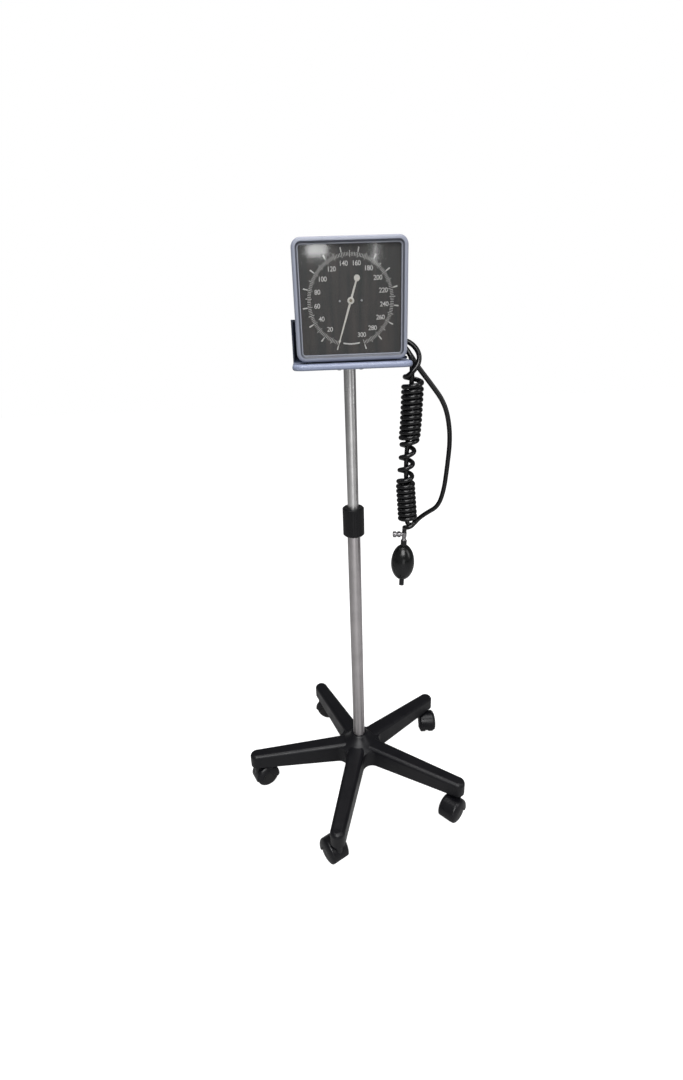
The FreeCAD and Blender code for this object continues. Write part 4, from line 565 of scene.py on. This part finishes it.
def rolled(along, aside, proud):
    """Point of the flat strip on the roll: along it becomes an arc length on an evenly opening spiral,
    whose radius is the core's plus one pitch a turn. Two waves make the turns uneven, and they drift a
    little sideways."""
    turned = np.interp(along, roll_lengths, roll_angles)
    heading = ROLL_FROM - turned
    slack = 1 + ROLL_SLACK[0] * np.sin(2 * heading + 0.7) + ROLL_SLACK[1] * np.sin(3 * heading + 45 * aside)
    radius = (ROLL_CORE_R + ROLL_PITCH * turned / (2 * math.pi)) * slack + proud
    drift = ROLL_DRIFT * np.sin(1.7 * turned) * turned / ROLL_TURN
    return np.stack([CUFF_MIDDLE.x + aside + drift, CUFF_MIDDLE.y + radius * np.cos(heading),
                     CUFF_MIDDLE.z + radius * np.sin(heading)], axis=-1)


def cloth(name, points, faces, laid):
    """Smooth cloth mesh with the flat strip's own lengths, in metres, as its UV map."""
    mesh = bpy.data.meshes.new(name)
    mesh.from_pydata(points.tolist(), [], faces.tolist())
    corners = np.empty(len(mesh.loops), dtype=np.int32)
    mesh.loops.foreach_get("vertex_index", corners)
    mesh.uv_layers.new(name="flat").uv.foreach_set("vector", laid[corners].astype(np.float32).ravel())
    mesh.shade_smooth()
    return mesh


def sleeve(rows, columns):
    """Quads of a grid of points, rows by columns, closed round its columns."""
    row, column = np.meshgrid(np.arange(rows - 1), np.arange(columns), indexing="ij")
    after = (column + 1) % columns
    return np.stack([row * columns + column, row * columns + after, (row + 1) * columns + after,
                     (row + 1) * columns + column], axis=-1).reshape(-1, 4)


def flat_strip():
    """Strip's section, a flat loop of points round both plies, carried along its length, with both ends
    closed."""
    across = int(CUFF_W / CLOTH_STEP)
    half = np.linspace(-CUFF_W / 2, CUFF_W / 2, across + 1)
    section = np.concatenate([half, half[::-1]])
    level = np.concatenate([np.full(across + 1, PLY_T / 2), np.full(across + 1, -PLY_T / 2)])
    along = np.linspace(0, STRIP_L, int(STRIP_L / CLOTH_STEP))
    points = np.stack([np.repeat(along, len(section)), np.tile(section, len(along)),
                       np.tile(level, len(along))], axis=1)
    faces = sleeve(len(along), len(section))
    pair = np.arange(across)
    first = np.stack([pair, pair + 1, 2 * across - pair, 2 * across + 1 - pair], axis=1)
    last = first[:, ::-1] + (len(along) - 1) * len(section)
    return points, np.vstack([faces, first, last])


def puffed(points, faces):
    """Cloth simulation of the flat strip with air in it. The seams are held, and no point moves more than
    PUFF."""
    strip = bpy.data.objects.new("flat_cuff", cloth("flat_cuff", points, faces, points[:, :2]))
    bpy.context.scene.collection.objects.link(strip)
    along, aside = points[:, 0], np.abs(points[:, 1])
    off_seam = np.minimum.reduce([CUFF_W / 2 - aside - TAPE_W, along - END_SEAM, STRIP_L - TAIL_L - along,
                                  np.abs(along - CROSS_SEAM) + SEAM_HALF / 2])
    held = strip.vertex_groups.new(name="seams")
    held.add(np.flatnonzero(off_seam < SEAM_HALF).tolist(), 1.0, "REPLACE")
    air = strip.modifiers.new("air", "CLOTH").settings
    air.vertex_group_mass = "seams"
    air.use_pressure = True
    air.uniform_pressure_force = AIR_PRESSURE
    air.shrink_min = -0.03
    air.effector_weights.gravity = 0
    for step in range(1, AIR_STEPS + 1):
        bpy.context.scene.frame_set(step)
    blown = bpy.data.meshes.new_from_object(strip.evaluated_get(bpy.context.evaluated_depsgraph_get()))
    moved = np.empty(3 * len(points))
    blown.vertices.foreach_get("co", moved)
    bpy.data.objects.remove(strip)
    bpy.context.scene.frame_set(1)
    shift = moved.reshape(-1, 3) - points
    size = np.linalg.norm(shift, axis=1, keepdims=True)
    return points + shift * np.minimum(1, PUFF / np.maximum(size, 1e-9))


def cuff_roll():
    """Puffed strip, rolled up."""
    points, faces = flat_strip()
    full = puffed(points, faces)
    mesh = cloth("cuff_roll", rolled(*full.T), faces, points[:, :2])
    roll = on_mast("cuff_roll", mesh, CUFF_CLOTH)
    finer = roll.modifiers.new("finer", "SUBSURF")
    finer.levels = 1
    finer.render_levels = 1
    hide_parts("cuff")


def folded_tape():
    """Section of a tape folded over an edge: distance in from the edge, and height over the middle of the
    plies."""
    top = PLY_T / 2 + TAPE_PROUD
    turn = np.linspace(math.pi / 2, -math.pi / 2, 7)
    inward = np.concatenate([[TAPE_W, TAPE_W / 2], -TAPE_FOLD * np.cos(turn), [TAPE_W / 2, TAPE_W]])
    height = np.concatenate([[top, top], top * np.sin(turn), [-top, -top]])
    lower = np.array([PLY_T / 2 - 0.0001, -PLY_T / 2 + 0.0001])
    return np.concatenate([inward, [TAPE_W, TAPE_W]]), np.concatenate([height, lower[::-1]])


def binding(name, side):
    """Tape folded over one long edge, carried along the strip."""
    inward, height = folded_tape()
    along = np.linspace(TAPE_END, STRIP_L - TAPE_END, 240)
    aside = side * (CUFF_W / 2 - inward)
    points = rolled(along[:, None], aside[None, :], height[None, :]).reshape(-1, 3)
    laid = np.stack(np.broadcast_arrays(along[:, None], (inward + height)[None, :]), axis=-1).reshape(-1, 2)
    faces = sleeve(len(along), len(inward))
    on_mast(name, cloth(name, points, faces if side > 0 else faces[:, ::-1], laid), CUFF_TAPE)


def tail_binding():
    """Tape folded over the tail's end, carried across the strip."""
    inward, height = folded_tape()
    aside = np.linspace(-CUFF_W / 2, CUFF_W / 2, 60)
    points = rolled(STRIP_L - TAPE_PROUD - inward[None, :], aside[:, None],
                    height[None, :] * TAIL_TAPE_LIFT).reshape(-1, 3)
    laid = np.stack(np.broadcast_arrays(aside[:, None], (inward + height)[None, :]), axis=-1).reshape(-1, 2)
    faces = sleeve(len(aside), len(inward))[:, ::-1]
    on_mast("cuff_tail_tape", cloth("cuff_tail_tape", points, faces, laid), CUFF_TAPE)


def hook_patch():
    """Flat patch sewn on the tail: a rounded rectangle of points, thinner at its border."""
    start, end, half = HOOKS
    along = np.linspace(STRIP_L - start, STRIP_L - end, 36)
    aside = np.linspace(-half, half, 48)
    rim = np.minimum.outer(np.minimum(along - along[0], along[-1] - along),
                           np.minimum(aside - aside[0], aside[-1] - aside))
    height = PLY_T / 2 + HOOK_BACKING_T + HOOK_T * np.clip(rim / HOOK_BORDER, 0, 1) ** 0.5
    points = rolled(along[:, None], aside[None, :], height).reshape(-1, 3)
    laid = np.stack(np.meshgrid(along, aside, indexing="ij"), axis=-1).reshape(-1, 2)
    row, column = np.meshgrid(np.arange(len(along) - 1), np.arange(len(aside) - 1), indexing="ij")
    corner = (row * len(aside) + column).ravel()
    faces = np.stack([corner, corner + 1, corner + 1 + len(aside), corner + len(aside)], axis=1)
    on_mast("cuff_hook_patch", cloth("cuff_hook_patch", points, faces, laid), HOOK_TAPE)


def stitches():
    """Rows of short threads, each a six-sided spindle: a ring of points at five places along its length."""
    row = np.arange(STITCH_FROM, STRIP_L - STITCH_TO, STITCH_PITCH)
    start = np.tile(row, 2)
    aside = np.repeat([-1, 1], len(row)) * (CUFF_W / 2 - TAPE_W + STITCH_IN)
    share = np.array([0, 0.12, 0.5, 0.88, 1.0])
    girth = np.array([0.05, 0.8, 1.0, 0.8, 0.05]) * STITCH_R
    rise = np.array([-0.8, 0.1, 0.5, 0.1, -0.8]) * STITCH_R
    turn = np.arange(6) * math.pi / 3
    along, across, height = np.broadcast_arrays(
        start[:, None, None] + STITCH_L * share[None, :, None],
        aside[:, None, None] + girth[None, :, None] * np.cos(turn),
        PLY_T / 2 + TAPE_PROUD + rise[None, :, None] + girth[None, :, None] * np.sin(turn))
    points = rolled(along, across, height).reshape(-1, 3)
    one = sleeve(len(share), len(turn))
    first = len(share) * len(turn) * np.arange(len(start))
    faces = (one[None] + first[:, None, None]).reshape(-1, 4)
    laid = np.stack([along, across], axis=-1).reshape(-1, 2)
    on_mast("cuff_stitches", cloth("cuff_stitches", points, faces, laid), CUFF_THREAD)


def woven(name, colour, second, roughness, threads, depth):
    """Plain weave on the strip's own lengths: two waves at right angles, threads per metre, lift and tint
    it."""
    made, tree, shader = finish(name, colour, roughness, Sheen_Weight=0.25, Sheen_Roughness=0.5)
    flat = put(tree, "ShaderNodeUVMap", uv_map="flat").outputs["UV"]
    waves = [put(tree, "ShaderNodeTexWave", {"Vector": flat, "Scale": threads / 20, "Distortion": 0.6,
                                             "Detail": 1.0}, bands_direction=way).outputs["Fac"]
             for way in ("X", "Y")]
    weave = put(tree, "ShaderNodeMath", {0: waves[0], 1: waves[1]}, operation="MULTIPLY").outputs["Value"]
    mottle(tree, shader, weave, colour, second, 0.1, 0.8)
    relief(tree, shader, weave, depth)
    return made


CUFF_CLOTH = woven("cuff_cloth", (0.010, 0.016, 0.040), (0.018, 0.026, 0.060), 0.62, 1500, 0.00018)
CUFF_TAPE = woven("cuff_tape", (0.006, 0.008, 0.016), (0.012, 0.015, 0.026), 0.7, 2200, 0.00015)
HOOK_TAPE = woven("hook_tape", (0.008, 0.009, 0.012), (0.030, 0.032, 0.038), 0.5, 700, 0.0006)
CUFF_THREAD = woven("cuff_thread", (0.030, 0.040, 0.085), (0.050, 0.062, 0.120), 0.5, 3000, 0.00005)
COUPLING_PLASTIC = moulded("coupling_plastic", (0.012, 0.012, 0.013), (0.018, 0.018, 0.019),
                           0.35, 1000, 0.00003)
cuff_roll()
binding("cuff_left_tape", -1)
binding("cuff_right_tape", 1)
tail_binding()
hook_patch()
stitches()
dress(COUPLING_PLASTIC, "cuff_connector")


# ---- Studio --------------------------------------------------------------------------------------
# A white floor and surround. A large soft panel hangs above and behind the camera, with a weak one low in
# front, one on the right and one overhead. Two narrow ones show in the dial's window.
FLOOR_HALF = 6.0
FRONT_LIGHT = 0.30         # strength of the surround's light from in front, and from behind the object
BACK_LIGHT = 0.14


def floor_sheet():
    """Large flat square at floor level, white where it is seen, that throws little light back up."""
    mesh = bpy.data.meshes.new("floor")
    mesh.from_pydata([(-FLOOR_HALF, -FLOOR_HALF, 0), (FLOOR_HALF, -FLOOR_HALF, 0),
                      (FLOOR_HALF, FLOOR_HALF, 0), (-FLOOR_HALF, FLOOR_HALF, 0)], [], [(0, 1, 2, 3)])
    made, tree, shader = finish("floor_white", (0.42, 0.42, 0.42), 0.9, Emission_Color=(1, 1, 1, 1))
    seen = put(tree, "ShaderNodeLightPath").outputs["Is Camera Ray"]
    tree.links.new(between(tree, seen, 0.0, 0.93, 0.0, 1.0), shader.inputs["Emission Strength"])
    mesh.materials.append(made)
    sheet = bpy.data.objects.new("floor", mesh)
    bpy.context.scene.collection.objects.link(sheet)


def soft_light(name, at, towards, width, height, watts):
    """Rectangular area light at a point, facing another."""
    lamp = bpy.data.lights.new(name, "AREA")
    lamp.shape = "RECTANGLE"
    lamp.size = width
    lamp.size_y = height
    lamp.energy = watts
    holder = bpy.data.objects.new(name, lamp)
    bpy.context.scene.collection.objects.link(holder)
    holder.location = at
    holder.rotation_euler = (Vector(towards) - Vector(at)).to_track_quat("-Z", "Y").to_euler()


def surround():
    """White where it is seen. The light that it gives fades from the front towards the back."""
    world = bpy.data.worlds.new("white_surround")
    world.use_nodes = True
    tree = world.node_tree
    heading = put(tree, "ShaderNodeTexCoord").outputs["Generated"]
    depth = put(tree, "ShaderNodeSeparateXYZ", {"Vector": heading}).outputs["Y"]
    given = between(tree, depth, FRONT_LIGHT, BACK_LIGHT, -0.7, 0.5)
    seen = put(tree, "ShaderNodeLightPath").outputs["Is Camera Ray"]
    strength = put(tree, "ShaderNodeMath", {0: seen, 1: given}, operation="MAXIMUM").outputs["Value"]
    tree.links.new(strength, tree.nodes["Background"].inputs["Strength"])
    tree.nodes["Background"].inputs["Color"].default_value = (1, 1, 1, 1)
    bpy.context.scene.world = world


floor_sheet()
surround()
soft_light("key_light", (-0.3, -2.2, 2.5), (0, 0, 0.7), 1.8, 1.6, 75)
soft_light("fill_light", (1.9, -1.0, 1.5), (0, 0, 0.6), 0.7, 1.6, 9)
soft_light("front_light", (0.05, -2.4, 0.40), (0, 0, 0.55), 0.9, 0.7, 2.5)
soft_light("top_light", (0.0, -0.1, 2.9), (0, 0, 0.5), 1.6, 1.4, 40)
soft_light("window_patch_light", (-0.010, -1.6, 1.250), (0, 0, 1.02), 0.080, 0.045, 0.08)
soft_light("window_streak_light", (0.225, -1.6, 1.235), (0, 0, 1.02), 0.018, 0.075, 0.02)
bpy.context.scene.view_settings.view_transform = "Standard"
